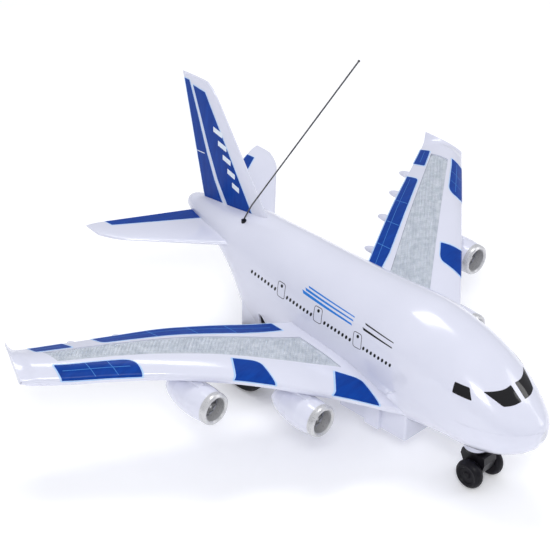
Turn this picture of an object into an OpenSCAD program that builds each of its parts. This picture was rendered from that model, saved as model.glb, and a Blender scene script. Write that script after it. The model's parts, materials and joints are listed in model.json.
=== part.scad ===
// Toy airliner: a radio-controlled four-engine toy with clear light panels in its wings.
// The nose points along -Y, the starboard (right) wing along -X, and +Z is up.
// The origin is on the floor, midway between the wheels and under the middle of the fuselage.

/* [Fuselage] */
// Wall of the moulded fuselage shells
shell_t = 1.6; // [1.4:0.1:2]
// Points around one fuselage section
section_sides = 28; // [24:4:36]
// Roundness of the fuselage section, 2 is an ellipse
section_power = 2.15; // [2:0.05:2.4]

/* [Wings] */
// Wall of the wing skins
wing_t = 1.4; // [1.2:0.1:1.6]
// Rise of the wing's upper surface above its edges
wing_crown = 6.9; // [6:0.1:7.5]

/* [Engines] */
// Outer radius of the intake ring
ring_r = 11.7; // [11:0.1:12]
// Radius of the opening in the intake ring
intake_r = 8.4; // [8:0.1:8.8]
// Length of a nacelle without its ring
nacelle_len = 40; // [36:1:42]

/* [Running gear] */
// Radius of a main wheel
wheel_r = 24; // [23:0.5:24.5]
// Width of a main wheel
wheel_w = 13; // [11:0.5:14]
// Distance between the outer faces of the main wheels
wheel_track = 88; // [86:1:92]
// Radius of a nose wheel
nose_wheel_r = 10.7; // [10.5:0.1:10.9]
// Diameter of the main axle
axle_d = 3; // [3:0.1:3.2]
// Module of the gears
gear_module = 0.5; // [0.5:0.01:0.52]

/* [Batteries] */
// Diameter of one battery
cell_d = 14.2; // [14:0.1:14.4]
// Length of one battery with its button
cell_len = 50.3; // [49.5:0.1:50.5]

/* [Antenna] */
// Length of the straight part of the antenna wire
antenna_len = 176; // [120:1:180]
// Forward lean of the antenna from upright
antenna_lean = 33; // [25:1:36]

/* [Hidden] */

WHITE = [0.95, 0.95, 0.98];
BLUE = [0.08, 0.28, 0.68];
CLEAR = [0.78, 0.83, 0.86, 0.6];
SILVER = [0.66, 0.66, 0.66];
DARK = [0.16, 0.16, 0.18];
BLACK = [0.05, 0.05, 0.06];
STEEL = [0.72, 0.73, 0.75];
BRASS = [0.8, 0.66, 0.3];
GREEN = [0.1, 0.42, 0.22];
TAN = [0.86, 0.83, 0.74];

EPS = 0.01;
ROUND_FN = 64;
FIT_GAP = 0.15;

// Fuselage outline: position along Y, half width, top height, bottom height
FUSELAGE = [
    [-167, 0.3, 65.3, 64.7], [-166, 6.5, 69.5, 56.5], [-163, 12, 72.5, 51], [-158, 18, 76, 46.8],
    [-150, 24, 81.5, 42.6], [-140, 28.5, 90, 39], [-128, 32, 99, 35.8], [-115, 34, 106.5, 34.2],
    [-100, 35.3, 112.5, 34], [-80, 36, 118, 31], [-60, 36, 120.8, 27], [-25, 36, 119.5, 20],
    [5, 36, 118.3, 20], [30, 34.5, 118.5, 20], [60, 31, 119.8, 21], [82, 28.5, 120, 26],
    [92, 27, 119.8, 44], [100, 25.5, 119.3, 60], [108, 24, 118.5, 72], [118, 21.5, 117, 81.5],
    [130, 18.3, 115.3, 87.5], [145, 13.8, 113, 92.5], [158, 9.3, 110.6, 96],
    [166, 5.5, 108.3, 98.5], [170, 0.3, 103.7, 103.2]];
// Height of the joint between the two shells, along Y: it arches over the wing root
SEAM = [[-200, 67], [-106, 67.5], [-84, 69.5], [-72, 69], [-62, 61], [-52, 56], [40, 56], [84, 66], [200, 66]];

// Wing stations: distance from the centre plane, height of the lower front edge, height of the rear edge
WING = [
    [24, 41, 71.5], [40, 47.8, 73.9], [60, 56.8, 76.6], [80, 63.9, 80.2], [100, 70.6, 83.3],
    [120, 75.5, 85.6], [150, 80, 86.2], [175, 80.4, 86.6], [200, 79.2, 87], [212, 79, 87.5],
    [218, 79.1, 88.5], [221.5, 79.5, 91.2], [225, 80.6, 95.6]];
WING_STEPS = 2;
SLAT_SWEEP = 0.845;
FLAP_SWEEP = 0.52;
WINGLET_X = 216;
TIP_CUT_X = 195;
TIP_CUT = 0.38;

// Engine positions: distance from the centre plane, Y of the lip, height of the axis
OUTER_ENGINE = [134.8, 1, 64.6];
INNER_ENGINE = [79.4, -45, 50.2];

WHEEL_Y = 72.4;
NOSE_PIVOT_Y = -114;
NOSE_WHEEL_Y = -118;
NOSE_BLOCK_HALF = 6.4;
NOSE_WHEEL_W = 8;
BOSS_Z = 27;
BOSS_TOP_Z = 41;
SHELL_POSTS = [-96, 34];
POST_JOINT_Z = 66;
SCREW_SEAT_Z = 60;
SCREW_R = 1.2;
SPEAKER_Y = 16.5;
SPEAKER_R = 11.5;
SPEAKER_Z = 24.3;
SWITCH_Y = -3;
DOOR_HALF = 23.65;
BOARD_Z = 44;
BOARD_POST_X = [-14, 14];
BOARD_POST_Y = [-56, -16];
BELLY_Z = 20;
BOX_HALF = 25;
BOX_FRONT = -71;
BOX_REAR = -9;
BOX_TOP = 39;
BOX_SHOULDER = 45;
GEAR_BAY_HALF = 27.5;
GEAR_BAY_Z = 12;
GEAR_BAY_FRONT = 40;
GEAR_BAY_REAR = 86;

AXLE_TEETH = 36;
IDLER_SMALL = 12;
IDLER_LARGE = 40;
PINION_TEETH = 10;
AXLE_GEAR_X = 8;
GEAR_W = 4;
IDLER_DIR = 120;
MOTOR_DIR = 157;
idler_dist = gear_module * (AXLE_TEETH + IDLER_SMALL) / 2;
motor_dist = gear_module * (IDLER_LARGE + PINION_TEETH) / 2;
axle_pos = [WHEEL_Y, wheel_r];
idler_pos = axle_pos + idler_dist * [cos(IDLER_DIR), sin(IDLER_DIR)];
motor_pos = idler_pos + motor_dist * [cos(MOTOR_DIR), sin(MOTOR_DIR)];
MOTOR_R = 10;
MOTOR_LEN = 25;
CASE_X = 4.4;
COVER_X = 19;
PLATE_T = 1.6;
SHAFT_R = 1;
GEARBOX_POSTS = [[81, 47], [48, 20], [57, 53]];
ANTENNA_BASE = [-11.5, 101, 116.3];

// ---- curves and skins -------------------------------------------------------------

// Index of the table row that a position falls behind
function row_at(t, p, i = 0) = i >= len(t) - 2 || p <= t[i + 1][0] ? i : row_at(t, p, i + 1);

// Slope of column c at row i, from its two neighbours
function slope(t, c, i) =
    let (a = t[max(i - 1, 0)], b = t[min(i + 1, len(t) - 1)]) (b[c] - a[c]) / (b[0] - a[0]);

// Smooth value of column c of a table at position p
function curve(t, p, c) =
    let (i = row_at(t, p), a = t[i], b = t[i + 1], h = b[0] - a[0], s = (p - a[0]) / h)
    (2 * s ^ 3 - 3 * s ^ 2 + 1) * a[c] + (3 * s ^ 2 - 2 * s ^ 3) * b[c]
    + h * ((s ^ 3 - 2 * s ^ 2 + s) * slope(t, c, i) + (s ^ 3 - s ^ 2) * slope(t, c, i + 1));

// Signed power, which squares off an ellipse
function spow(v, p) = sign(v) * abs(v) ^ p;

// Closed solid skinned over rings that all hold the same number of points
module skin(rings) {
    n = len(rings[0]);
    last = len(rings) - 1;
    sides = [for (j = [0:last - 1]) for (k = [0:n - 1])
        let (a = j * n + k, b = j * n + (k + 1) % n) each [[a, b, a + n], [b, b + n, a + n]]];
    front = [for (k = [n - 1:-1:0]) k];
    back = [for (k = [0:n - 1]) last * n + k];
    polyhedron(points = [for (r = rings) each r], faces = concat([front], sides, [back]), convexity = 6);
}

// Solid pushed along X from an outline drawn in Y and Z
module along_x(x0, x1) {
    translate([x0, 0, 0])
        multmatrix([[0, 0, 1, 0], [1, 0, 0, 0], [0, 1, 0, 0], [0, 0, 0, 1]])
            linear_extrude(x1 - x0) children();
}

// Cylinder along X
module bar_x(x0, x1, r, fn = ROUND_FN) {
    translate([x0, 0, 0]) rotate([0, 90, 0]) cylinder(h = x1 - x0, r = r, $fn = fn);
}

// Cross recess for a screw head
module cross_recess(size, depth) {
    for (a = [0, 90])
        rotate(a) cube([size, size / 4, 2 * depth], center = true);
}

// Pan-head screw with its head on z = 0 and its thread downwards
module pan_screw(head_r, head_h, thread_r, thread_len) {
    difference() {
        union() {
            cylinder(h = head_h, r = head_r, $fn = 32);
            translate([0, 0, -thread_len]) cylinder(h = thread_len + EPS, r = thread_r, $fn = 32);
        }
        translate([0, 0, head_h]) cross_recess(head_r * 1.3, head_h * 0.5);
    }
}

// ---- fuselage ---------------------------------------------------------------------

function fuselage_rows() =
    [for (i = [0:len(FUSELAGE) - 2]) let (a = FUSELAGE[i][0], b = FUSELAGE[i + 1][0])
        each (b - a > 9 ? [a, (a + b) / 2] : [a]), FUSELAGE[len(FUSELAGE) - 1][0]];

function fuselage_ring(y, inset) =
    let (w = max(curve(FUSELAGE, y, 1) - inset, 0.1),
         top = curve(FUSELAGE, y, 2), low = curve(FUSELAGE, y, 3),
         h = max((top - low) / 2 - inset, 0.1), q = 2 / section_power)
    [for (k = [0:section_sides - 1]) let (a = 360 * k / section_sides)
        [w * spow(cos(a), q), y, (top + low) / 2 + h * spow(sin(a), q)]];

// Whole fuselage volume, shrunk by an inset on every side
module fuselage_volume(inset = 0) {
    rows = fuselage_rows();
    last = len(rows) - 1;
    first_row = inset > 0 ? 2 : 0;
    last_row = inset > 0 ? last - 1 : last;
    skin([for (i = [first_row:last_row]) fuselage_ring(rows[i], inset)]);
}

module fuselage_skin() {
    difference() {
        fuselage_volume();
        fuselage_volume(shell_t);
    }
}

// Side outline above or below the joint between the shells, moved away from it by a gap
module seam_side(up, gap = 0) {
    edge = [for (p = SEAM) [p[0], p[1] + (up ? gap : -gap)]];
    far = up ? 220 : -20;
    along_x(-60, 60)
        polygon(concat(edge, [[200, far], [-200, far]]));
}

// Outlines of the cockpit panes: the two front ones seen from the nose, the side ones from the side
PANE_FRONT = [[2.1, 90.9], [1.9, 82.6], [9.2, 82.3], [15.4, 82.8], [20.6, 90.6], [8.5, 90.3]];
PANE_SIDE = [[-112.8, 93.3], [-122.9, 91.9], [-127.4, 85.1], [-113.6, 86.8]];

module pane_prisms(grow = 0) {
    for (side = [-1, 1]) {
        translate([0, -125, 0]) rotate([90, 0, 0])
            linear_extrude(40) offset(delta = grow) scale([side, 1]) polygon(PANE_FRONT);
        along_x(side > 0 ? 12 : -40, side > 0 ? 40 : -12) offset(delta = grow) polygon(PANE_SIDE);
    }
}

module upper_shell() {
    color(WHITE)
    difference() {
        union() {
            intersection() {
                fuselage_skin();
                seam_side(true, 0.05);
            }
            intersection() {
                fuselage_volume(0.8);
                for (y = SHELL_POSTS)
                    translate([0, y, POST_JOINT_Z + 0.1]) cylinder(h = 60, r = 3.6, $fn = 32);
            }
        }
        for (y = SHELL_POSTS)
            translate([0, y, POST_JOINT_Z - 1]) cylinder(h = 18, r = SCREW_R + 0.05, $fn = 32);
        for (side = [-1, 1])
            wing_tab(side, FIT_GAP);
        pane_prisms(FIT_GAP);
        fin_blade(FIT_GAP);
        for (side = [-1, 1])
            tailplane_blade(side, FIT_GAP);
        translate([ANTENNA_BASE[0], ANTENNA_BASE[1], 100]) cylinder(h = 30, r = 2, $fn = 32);
    }
}

module cockpit_glazing() {
    color(BLACK)
    intersection() {
        fuselage_skin();
        pane_prisms(0);
    }
}

module lower_shell() {
    color(WHITE)
    difference() {
        union() {
            intersection() {
                difference() {
                    union() {
                        fuselage_volume();
                        belly_boxes(0);
                    }
                    difference() {
                        fuselage_volume(shell_t);
                        battery_roof();
                    }
                    belly_boxes(shell_t);
                }
                seam_side(false, 0.05);
            }
            battery_roof();
            for (y = SHELL_POSTS)
                let (foot = curve(FUSELAGE, y, 3) + 0.5)
                    translate([0, y, foot]) cylinder(h = POST_JOINT_Z - foot, r = 3.6, $fn = 32);
            for (x = BOARD_POST_X, y = BOARD_POST_Y)
                translate([x, y, BOX_TOP - 0.5]) cylinder(h = BOARD_Z - BOX_TOP + 0.5, r = 2.6, $fn = 24);
            translate([0, NOSE_PIVOT_Y, BOSS_Z + 2]) cylinder(h = BOSS_TOP_Z - BOSS_Z - 2, r = 4.5, $fn = 48);
            translate([0, NOSE_PIVOT_Y, BOSS_Z]) cylinder(h = 9, r = 9, $fn = 48);
            intersection() {
                fuselage_volume(0.8);
                translate([0, SPEAKER_Y, 21]) cylinder(h = SPEAKER_Z - 21, r = SPEAKER_R + 1, $fn = 48);
            }
        }
        for (y = SHELL_POSTS) {
            translate([0, y, BELLY_Z - 2]) cylinder(h = 60, r = 1.5, $fn = 32);
            translate([0, y, BELLY_Z - 2]) cylinder(h = SCREW_SEAT_Z - BELLY_Z + 2, r = 2.7, $fn = 32);
        }
        for (x = BOARD_POST_X, y = BOARD_POST_Y)
            translate([x, y, BOARD_Z - 4]) cylinder(h = 5, r = 0.85, $fn = 24);
        translate([0, NOSE_PIVOT_Y, BOSS_Z - 1]) cylinder(h = BOSS_TOP_Z - BOSS_Z + 2, r = 2.05, $fn = 48);
        translate([-DOOR_HALF - FIT_GAP, BOX_FRONT + 1.2, BELLY_Z - 1])
            cube([2 * (DOOR_HALF + FIT_GAP), BOX_REAR - BOX_FRONT - 2.4, 3.2]);
        translate([0, SPEAKER_Y, 19]) cylinder(h = 20, r = SPEAKER_R - 1, $fn = 48);
        translate([0, SWITCH_Y, BELLY_Z + 1]) cube([4, 9, 9], center = true);
        along_x(-40, 40) translate([WHEEL_Y, wheel_r]) circle(r = 3.1, $fn = 48);
        for (side = [-1, 1])
            along_x(side > 0 ? 24 : -40, side > 0 ? 40 : -24)
                polygon([[67, 64], [67, 42], [50, 42], [50, 50]]);
    }
    color(WHITE)
    difference() {
        intersection() {
            fuselage_skin();
            translate([0, SPEAKER_Y, 19]) cylinder(h = 5, r = SPEAKER_R - 0.9, $fn = 48);
        }
        for (i = [-3:3])
            translate([i * 2.6, SPEAKER_Y, BELLY_Z])
                cube([1.2, 2 * sqrt(9 ^ 2 - (i * 2.6) ^ 2), 12], center = true);
    }
}

// Plan of the battery box, with rounded corners
module box_plan(inset = 0) {
    offset(r = 2, $fn = 24) offset(delta = -2 - inset)
        translate([-BOX_HALF, BOX_FRONT]) square([2 * BOX_HALF, BOX_REAR - BOX_FRONT]);
}

// Battery box under the belly and gearbox bay at the back, shrunk by an inset
module belly_boxes(inset) {
    open_below = inset > 0 ? 2 : 0;
    top = inset > 0 ? BOX_TOP - inset : BOX_SHOULDER;
    translate([0, 0, BELLY_Z - open_below]) linear_extrude(top - BELLY_Z + open_below) box_plan(inset);
    if (inset == 0)
        translate([-28, -49, BELLY_Z]) cube([56, 13, BOX_SHOULDER - BELLY_Z]);
    translate([-GEAR_BAY_HALF + inset, GEAR_BAY_FRONT + inset, GEAR_BAY_Z + inset])
        cube([2 * (GEAR_BAY_HALF - inset), GEAR_BAY_REAR - GEAR_BAY_FRONT - 2 * inset,
            68 - GEAR_BAY_Z - 2 * inset]);
}

// Walls and roof that shut the battery box off from the inside of the fuselage
module battery_roof() {
    difference() {
        translate([0, 0, BELLY_Z + 3]) linear_extrude(BOX_TOP - BELLY_Z - 3) box_plan();
        translate([0, 0, BELLY_Z]) linear_extrude(BOX_TOP - BELLY_Z - shell_t) box_plan(shell_t);
    }
}

// ---- wings ------------------------------------------------------------------------

// Near the tip the stations turn, so that the tip is cut off at a slant
function tip_x(x, s) = x - max(x - TIP_CUT_X, 0) * TIP_CUT * s;
function front_y(x) = -62.5 + SLAT_SWEEP * (x - 40);
function rear_y(x) = 32.6 + FLAP_SWEEP * (tip_x(x, 1) - 40);
function chord_y(x, s) = front_y(x) + s * (rear_y(x) - front_y(x));
function low_z(x, s) = curve(WING, x, 1) * (1 - s) + (curve(WING, x, 2) - 0.4) * s;
function crown(x) = wing_crown * (x > WINGLET_X ? 1 - (x - WINGLET_X) / 12 : 1) + max(60 - x, 0) * 0.05;
function top_z(x, s) =
    low_z(x, s) + 5 * (1 - s) + 1.9 * s + crown(x) * sin(180 * s ^ 0.7);
function mid_z(x, s) = (low_z(x, s) * 0.5 + top_z(x, s) * 0.5);

// Stretches of the wing between stations, with finer steps
function wing_rows() =
    [for (i = [0:len(WING) - 2]) for (k = [0:WING_STEPS - 1])
        WING[i][0] + (WING[i + 1][0] - WING[i][0]) * k / WING_STEPS, WING[len(WING) - 1][0]];

TOP_STEPS = [0.015, 0.07, 0.16, 0.28, 0.42, 0.58, 0.74, 0.88, 1];
INNER_STEPS = [0.86, 0.72, 0.56, 0.4, 0.24, 0.1];

// Ring of the upper skin at one station, starting at the front edge
function upper_ring(side, x) =
    [for (p = concat(
        [[0, mid_z(x, 0) + 0.05]],
        [for (s = TOP_STEPS) [s, top_z(x, s)]],
        [[1, mid_z(x, 1) + 0.05], [0.9, mid_z(x, 0.9) + 0.05]],
        [for (s = INNER_STEPS) [s, max(top_z(x, s) - wing_t, mid_z(x, s) + 0.05)]],
        [[0.05, mid_z(x, 0.05) + 0.05]])) [side * tip_x(x, p[0]), chord_y(x, p[0]), p[1]]];

// Ring of the lower skin at one station, starting at the front edge
function lower_ring(side, x) =
    [for (p = concat(
        [[0, mid_z(x, 0) - 0.05], [0.05, mid_z(x, 0.05) - 0.05]],
        [for (i = [len(INNER_STEPS) - 1:-1:0]) let (s = INNER_STEPS[i])
            [s, min(low_z(x, s) + wing_t, mid_z(x, s) - 0.05)]],
        [[0.9, mid_z(x, 0.9) - 0.05], [1, mid_z(x, 1) - 0.05]],
        [for (s = [1, 0.66, 0.33, 0.02]) [s, low_z(x, s)]])) [side * tip_x(x, p[0]), chord_y(x, p[0]), p[1]]];

// A mirrored side lists its stations the other way round, so that the skin still faces outwards
function ordered(side, list) = side > 0 ? list : [for (i = [len(list) - 1:-1:0]) list[i]];

module upper_wing_skin(side) {
    skin([for (x = ordered(side, wing_rows())) upper_ring(side, x)]);
}

module lower_wing_skin(side) {
    skin([for (x = ordered(side, wing_rows())) lower_ring(side, x)]);
}

LENS_INNER_X = 44;
LENS_OUTER_X = 199;

// Plan of the clear light panel in one wing
module lens_plan(side, grow = 0) {
    steps = [for (i = [0:6]) LENS_INNER_X + (LENS_OUTER_X - LENS_INNER_X) * i / 6];
    front = [for (x = steps) [side * x, chord_y(x, 0.34)]];
    rear = [for (i = [6:-1:0]) let (x = steps[i], s = x > 190 ? 0.5 : 0.78 - 0.05 * x / 190)
        [side * x, chord_y(x, s)]];
    translate([0, 0, 40]) linear_extrude(80) offset(delta = grow) polygon(concat(front, rear));
}

module wing_upper(side) {
    color(WHITE)
    difference() {
        upper_wing_skin(side);
        lens_plan(side, FIT_GAP);
        fuselage_volume(-0.1);
    }
}

module wing_lens(side) {
    color(CLEAR)
    intersection() {
        upper_wing_skin(side);
        lens_plan(side);
    }
}

// Pods over the flap tracks, which hang under the rear edge and end behind it
FAIRING_X = [78, 112, 142, 170];
// Distance behind the start of a pod, half width, half height, height of the middle
FAIRING = [[0, 1, 1, -0.2], [6, 2, 2, -0.7], [16, 3, 3.2, -0.8], [25, 2.6, 2.7, -1.4], [29.5, 1.6, 1.6, -2], [31, 0.5, 0.5, -2.2]];

module flap_fairing(side, x) {
    start = 1 - 20 / (rear_y(x) - front_y(x));
    translate([side * x, chord_y(x, start), low_z(x, start)])
        skin([for (p = FAIRING) [for (a = [22.5:45:360])
            [p[1] * cos(a), p[0], p[3] + p[2] * sin(a)]]]);
}

// Tongue at the root of the wing, which plugs through a slot in the side of the fuselage
TAB_Y = -6;

module wing_tab(side, grow = 0) {
    s = (TAB_Y - front_y(42)) / (rear_y(42) - front_y(42));
    climb = atan2(low_z(42, 1) - low_z(42, 0), rear_y(42) - front_y(42));
    translate([side * 36, TAB_Y, low_z(42, s) + 0.7])
        rotate([climb, 0, 0]) cube([20 + 2 * grow, 10 + 2 * grow, 1.4 + 2 * grow], center = true);
}

// Drawn for the starboard side and mirrored for the other one
module wing_lower(side) {
    color(WHITE)
    mirror([side > 0 ? 1 : 0, 0, 0])
        difference() {
            union() {
                lower_wing_skin(-1);
                for (x = FAIRING_X)
                    flap_fairing(-1, x);
            }
            skin([for (y = [-90:15:60]) fuselage_ring(y, -0.1)]);
        }
    color(WHITE) wing_tab(side);
}

// Strip with the lamps that shine up through the clear panel
LED_X = [62, 84, 106, 128, 150];

module led_board(side) {
    color(GREEN)
    for (i = [0:len(LED_X) - 2])
        hull()
            for (x = [LED_X[i], LED_X[i + 1]])
                translate([side * x, chord_y(x, 0.5), mid_z(x, 0.5) - 1.8])
                    cylinder(h = 1, r = 2.6, $fn = 16);
    color(WHITE)
    for (x = LED_X)
        translate([side * x, chord_y(x, 0.5), mid_z(x, 0.5) - 1]) {
            cylinder(h = 2, r = 1.5, $fn = 24);
            translate([0, 0, 2]) sphere(r = 1.5, $fn = 24);
        }
}

// ---- engines ----------------------------------------------------------------------

function engine_side(side, pos) = [side * pos[0], pos[1], pos[2]];

// Outline of a nacelle half section: distance from the axis, distance behind the ring
NACELLE = [[11.5, 0], [12.2, 6], [12.4, 12], [11.8, 20], [10.2, 28], [7.6, 35], [4.5, 40]];

module nacelle(side, pos) {
    stretch = nacelle_len / 40;
    low = low_z(pos[0] - 2.4, 0);
    color(WHITE)
    union() {
        translate(engine_side(side, pos) + [0, 5, 0])
            rotate([-90, 0, 0])
                difference() {
                    rotate_extrude($fn = ROUND_FN)
                        polygon(concat([[0, 0]], [for (p = NACELLE) [p[0], p[1] * stretch]],
                            [[0, nacelle_len]]));
                    translate([0, 0, -EPS]) cylinder(h = 9, r = 9.6, $fn = ROUND_FN);
                }
        pylon(side, pos);
    }
}

// Blade between a nacelle and the underside of the wing, which follows the slope of the skin
module pylon(side, pos) {
    x = pos[0] - 2.4;
    back_s = 0.42;
    back_y = chord_y(x, back_s);
    difference() {
        along_x(side * pos[0] - 2.4, side * pos[0] + 2.4)
            polygon([
                [pos[1] + 12, pos[2] + 10], [front_y(x) + 1, low_z(x, 0.015) - 0.25],
                [back_y, low_z(x, back_s) - 0.25], [back_y - 5, low_z(x, back_s) - 4],
                [pos[1] + nacelle_len - 4, pos[2] + 2]]);
        translate(engine_side(side, pos) + [0, 4, 0])
            rotate([-90, 0, 0]) cylinder(h = 10.5, r = 9.6, $fn = ROUND_FN);
    }
}

module intake_ring(side, pos) {
    color(SILVER)
    translate(engine_side(side, pos))
        rotate([-90, 0, 0])
            rotate_extrude($fn = ROUND_FN)
                polygon([[intake_r, 1.2], [intake_r + 0.9, 0.2], [ring_r - 1.4, 0], [ring_r - 0.3, 1],
                    [ring_r, 2.4], [ring_r, 4.9], [9.5, 4.9], [9.5, 8], [intake_r, 8]]);
}

FAN_BLADES = 12;

module fan(side, pos) {
    color(DARK)
    translate(engine_side(side, pos) + [0, 8.2, 0])
        rotate([-90, 0, 0]) {
            translate([0, 0, 2]) cylinder(h = 1.5, r = 9.4, $fn = 48);
            for (k = [0:FAN_BLADES - 1])
                rotate(k * 360 / FAN_BLADES)
                    translate([5.4, 0, 1.2]) rotate([28, 0, 0]) cube([6.8, 2.6, 0.7], center = true);
            translate([0, 0, 0.4]) cylinder(h = 2, r = 2.4, $fn = 32);
            translate([0, 0, -2.6]) cylinder(h = 3.01, r1 = 0.8, r2 = 2.4, $fn = 32);
        }
}

// ---- tail -------------------------------------------------------------------------

// Fin corners in Y and Z, front first, and its thickness there
FIN_BASE = [88, 153.7];
FIN_TOP = [146, 175.5];
FIN_TOP_Z = 206;
FIN_FOOT_Z = 104;

function fin_front(z) = FIN_BASE[0] + (z - 119) * (FIN_TOP[0] - FIN_BASE[0]) / (FIN_TOP_Z - 119);
function fin_rear(z) = FIN_BASE[1] + (z - 112) * (FIN_TOP[1] - FIN_BASE[1]) / (FIN_TOP_Z - 112);

// Lens-shaped section of a blade: half thickness t, chord position s from 0 to 1
BLADE_STEPS = [0, 0.04, 0.15, 0.35, 0.6, 0.82, 1];
function blade_half(s, t) = t * (0.25 + 0.75 * sin(180 * s ^ 0.6));
function blade_outline(t) = concat(
    [for (s = BLADE_STEPS) [s, blade_half(s, t)]],
    [for (i = [len(BLADE_STEPS) - 1:-1:0]) [BLADE_STEPS[i], -blade_half(BLADE_STEPS[i], t)]]);

module fin_blade(grow = 0) {
    levels = [FIN_FOOT_Z, 120, 160, 198, 203, FIN_TOP_Z];
    fin_t = [3.1, 3.0, 2.3, 1.6, 1.5, 0.8];
    skin([for (i = [0:len(levels) - 1])
        let (z = levels[i] + (i == 0 ? -grow : 0), round_off = max(z - 198, 0) * 0.35,
             y0 = fin_front(z) + round_off - grow, y1 = fin_rear(z) + grow)
        [for (p = blade_outline(fin_t[i] + grow)) [-p[1], y0 + p[0] * (y1 - y0), z]]]);
}

module tail_fin() {
    color(BLUE) fin_blade();
}

function tail_front(x) = 82.2 + 0.945 * x;
function tail_rear(x) = 154.9 + 0.385 * x;
function tail_z(x) = 98.6 + 0.085 * x;

module tailplane_blade(side, grow = 0) {
    xs = [4 - grow, 24, 50, 76, 83, 87];
    tail_t = [2.7, 2.5, 2.1, 1.7, 1.5, 0.9];
    cut = [0, 0, 0, 0, 1.5, 7];
    skin([for (i = ordered(side, [for (k = [0:len(xs) - 1]) k]))
        let (x = xs[i], y0 = tail_front(x) + cut[i] - grow, y1 = tail_rear(x) - cut[i] * 0.3 + grow)
        [for (p = blade_outline(tail_t[i] + grow))
            [side * x, y0 + p[0] * (y1 - y0), tail_z(x) + 1.5 * p[0] + p[1]]]]);
}

module tailplane(side) {
    color(WHITE) tailplane_blade(side);
}

ANTENNA_RISE = 16.7;
ANTENNA_FOOT_LEAN = 27.8;
ANTENNA_R = 0.55;

// One straight length of the wire, rounded where the next length bends away
module wire_length(h) {
    cylinder(h = h, r = ANTENNA_R, $fn = 24);
    translate([0, 0, h]) sphere(r = ANTENNA_R * 1.05, $fn = 24);
}

module antenna_wire() {
    color(DARK)
    translate(ANTENNA_BASE + [0, 0, -8]) {
        wire_length(10);
        translate([0, 0, 10]) rotate([ANTENNA_FOOT_LEAN, 0, 0]) {
            wire_length(ANTENNA_RISE);
            translate([0, 0, ANTENNA_RISE]) rotate([antenna_lean - ANTENNA_FOOT_LEAN, 0, 0]) {
                wire_length(antenna_len);
                translate([0, 0, antenna_len]) sphere(r = 0.85, $fn = 24);
            }
        }
    }
}

module antenna_bush() {
    color(BLACK)
    translate(ANTENNA_BASE)
        difference() {
            union() {
                translate([0, 0, -4]) cylinder(h = 5.5, r = 1.85, $fn = 32);
                translate([0, 0, -5.3]) cylinder(h = 1.5, r = 2.45, $fn = 32);
            }
            translate([0, 0, -7]) cylinder(h = 11, r = ANTENNA_R + 0.03, $fn = 24);
        }
}

// ---- batteries and electrics --------------------------------------------------------

CELL_X = [-14.8, 0, 14.8];
CELL_Z = 29.8;
CELL_MID_Y = -40;

module battery(i) {
    turn = i % 2 == 0 ? 0 : 180;
    color(i % 2 == 0 ? BLACK : DARK)
    translate([CELL_X[i], CELL_MID_Y, CELL_Z]) rotate([90, 0, turn]) {
        translate([0, 0, -cell_len / 2]) cylinder(h = cell_len - 1, r = cell_d / 2, $fn = ROUND_FN);
        translate([0, 0, cell_len / 2 - 1 - EPS]) cylinder(h = 1 + EPS, r = 2.6, $fn = 32);
    }
}

// Sheet contacts at both ends of the battery box, each minus end with a coil of wire
module battery_contacts() {
    color(STEEL)
    for (i = [0:2], end = [-1, 1]) {
        wall_y = end < 0 ? BOX_FRONT + shell_t + 0.05 : BOX_REAR - shell_t - 0.45;
        sprung = (i % 2 == 0) == (end > 0);
        translate([CELL_X[i] - 5, wall_y, CELL_Z - 5.5]) cube([10, 0.4, 11]);
        if (sprung)
            for (k = [0:3])
                translate([CELL_X[i], wall_y + 0.2 - end * (0.5 + 0.55 * k), CELL_Z])
                    rotate([90, 0, 0]) rotate_extrude($fn = 32)
                        translate([4 - 0.35 * k, 0]) circle(r = 0.34, $fn = 16);
    }
}

module battery_door() {
    long = BOX_REAR - BOX_FRONT - 2.7;
    color(WHITE)
    difference() {
        union() {
            translate([-DOOR_HALF, BOX_FRONT + 1.35, BELLY_Z]) cube([2 * DOOR_HALF, long, 1.8]);
            for (x = [-9, 5])
                translate([x, BOX_FRONT + 2, BELLY_Z + 1]) cube([4, long - 6, 1.2]);
        }
        translate([0, BOX_REAR - 4.2, BELLY_Z - 1]) cylinder(h = 5, r = 1.3, $fn = 32);
        translate([0, BOX_REAR - 4.2, BELLY_Z - 1]) cylinder(h = 1.9, r = 2.4, $fn = 32);
        for (k = [0:3])
            translate([-8, BOX_REAR - 9 - 2.2 * k, BELLY_Z - 1]) cube([16, 1, 1.4]);
    }
}

module battery_door_screw() {
    color(STEEL)
    translate([0, BOX_REAR - 4.2, BELLY_Z + 0.9]) rotate([180, 0, 0])
        pan_screw(2.2, 0.8, 1.2, 1.2);
}

// Circuit board on its posts over the battery box, with the receiver's parts soldered on
module main_board() {
    color(GREEN)
    difference() {
        translate([-17, -60, BOARD_Z]) cube([34, 48, 1.6]);
        for (x = BOARD_POST_X, y = BOARD_POST_Y)
            translate([x, y, BOARD_Z - 1]) cylinder(h = 4, r = 1.1, $fn = 24);
    }
    top = BOARD_Z + 1.6 - EPS;
    color(BLACK) {
        translate([-6, -44, top]) cube([11, 7, 2]);
        translate([-10, -30, top]) cube([6, 4, 1.6]);
    }
    color(SILVER) {
        translate([6, -32, top]) cylinder(h = 8, r = 2.5, $fn = 32);
        translate([-1, -24, top]) cube([4, 10, 3.2]);
    }
    color(BRASS)
        translate([9, -48, top]) difference() {
            cylinder(h = 6, r = 3.2, $fn = 32);
            translate([0, 0, 1]) cylinder(h = 8, r = 1.6, $fn = 32);
        }
}

module board_screws() {
    color(STEEL)
    for (x = BOARD_POST_X, y = BOARD_POST_Y)
        translate([x, y, BOARD_Z + 1.65]) pan_screw(1.9, 1.1, 0.8, 5);
}

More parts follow.
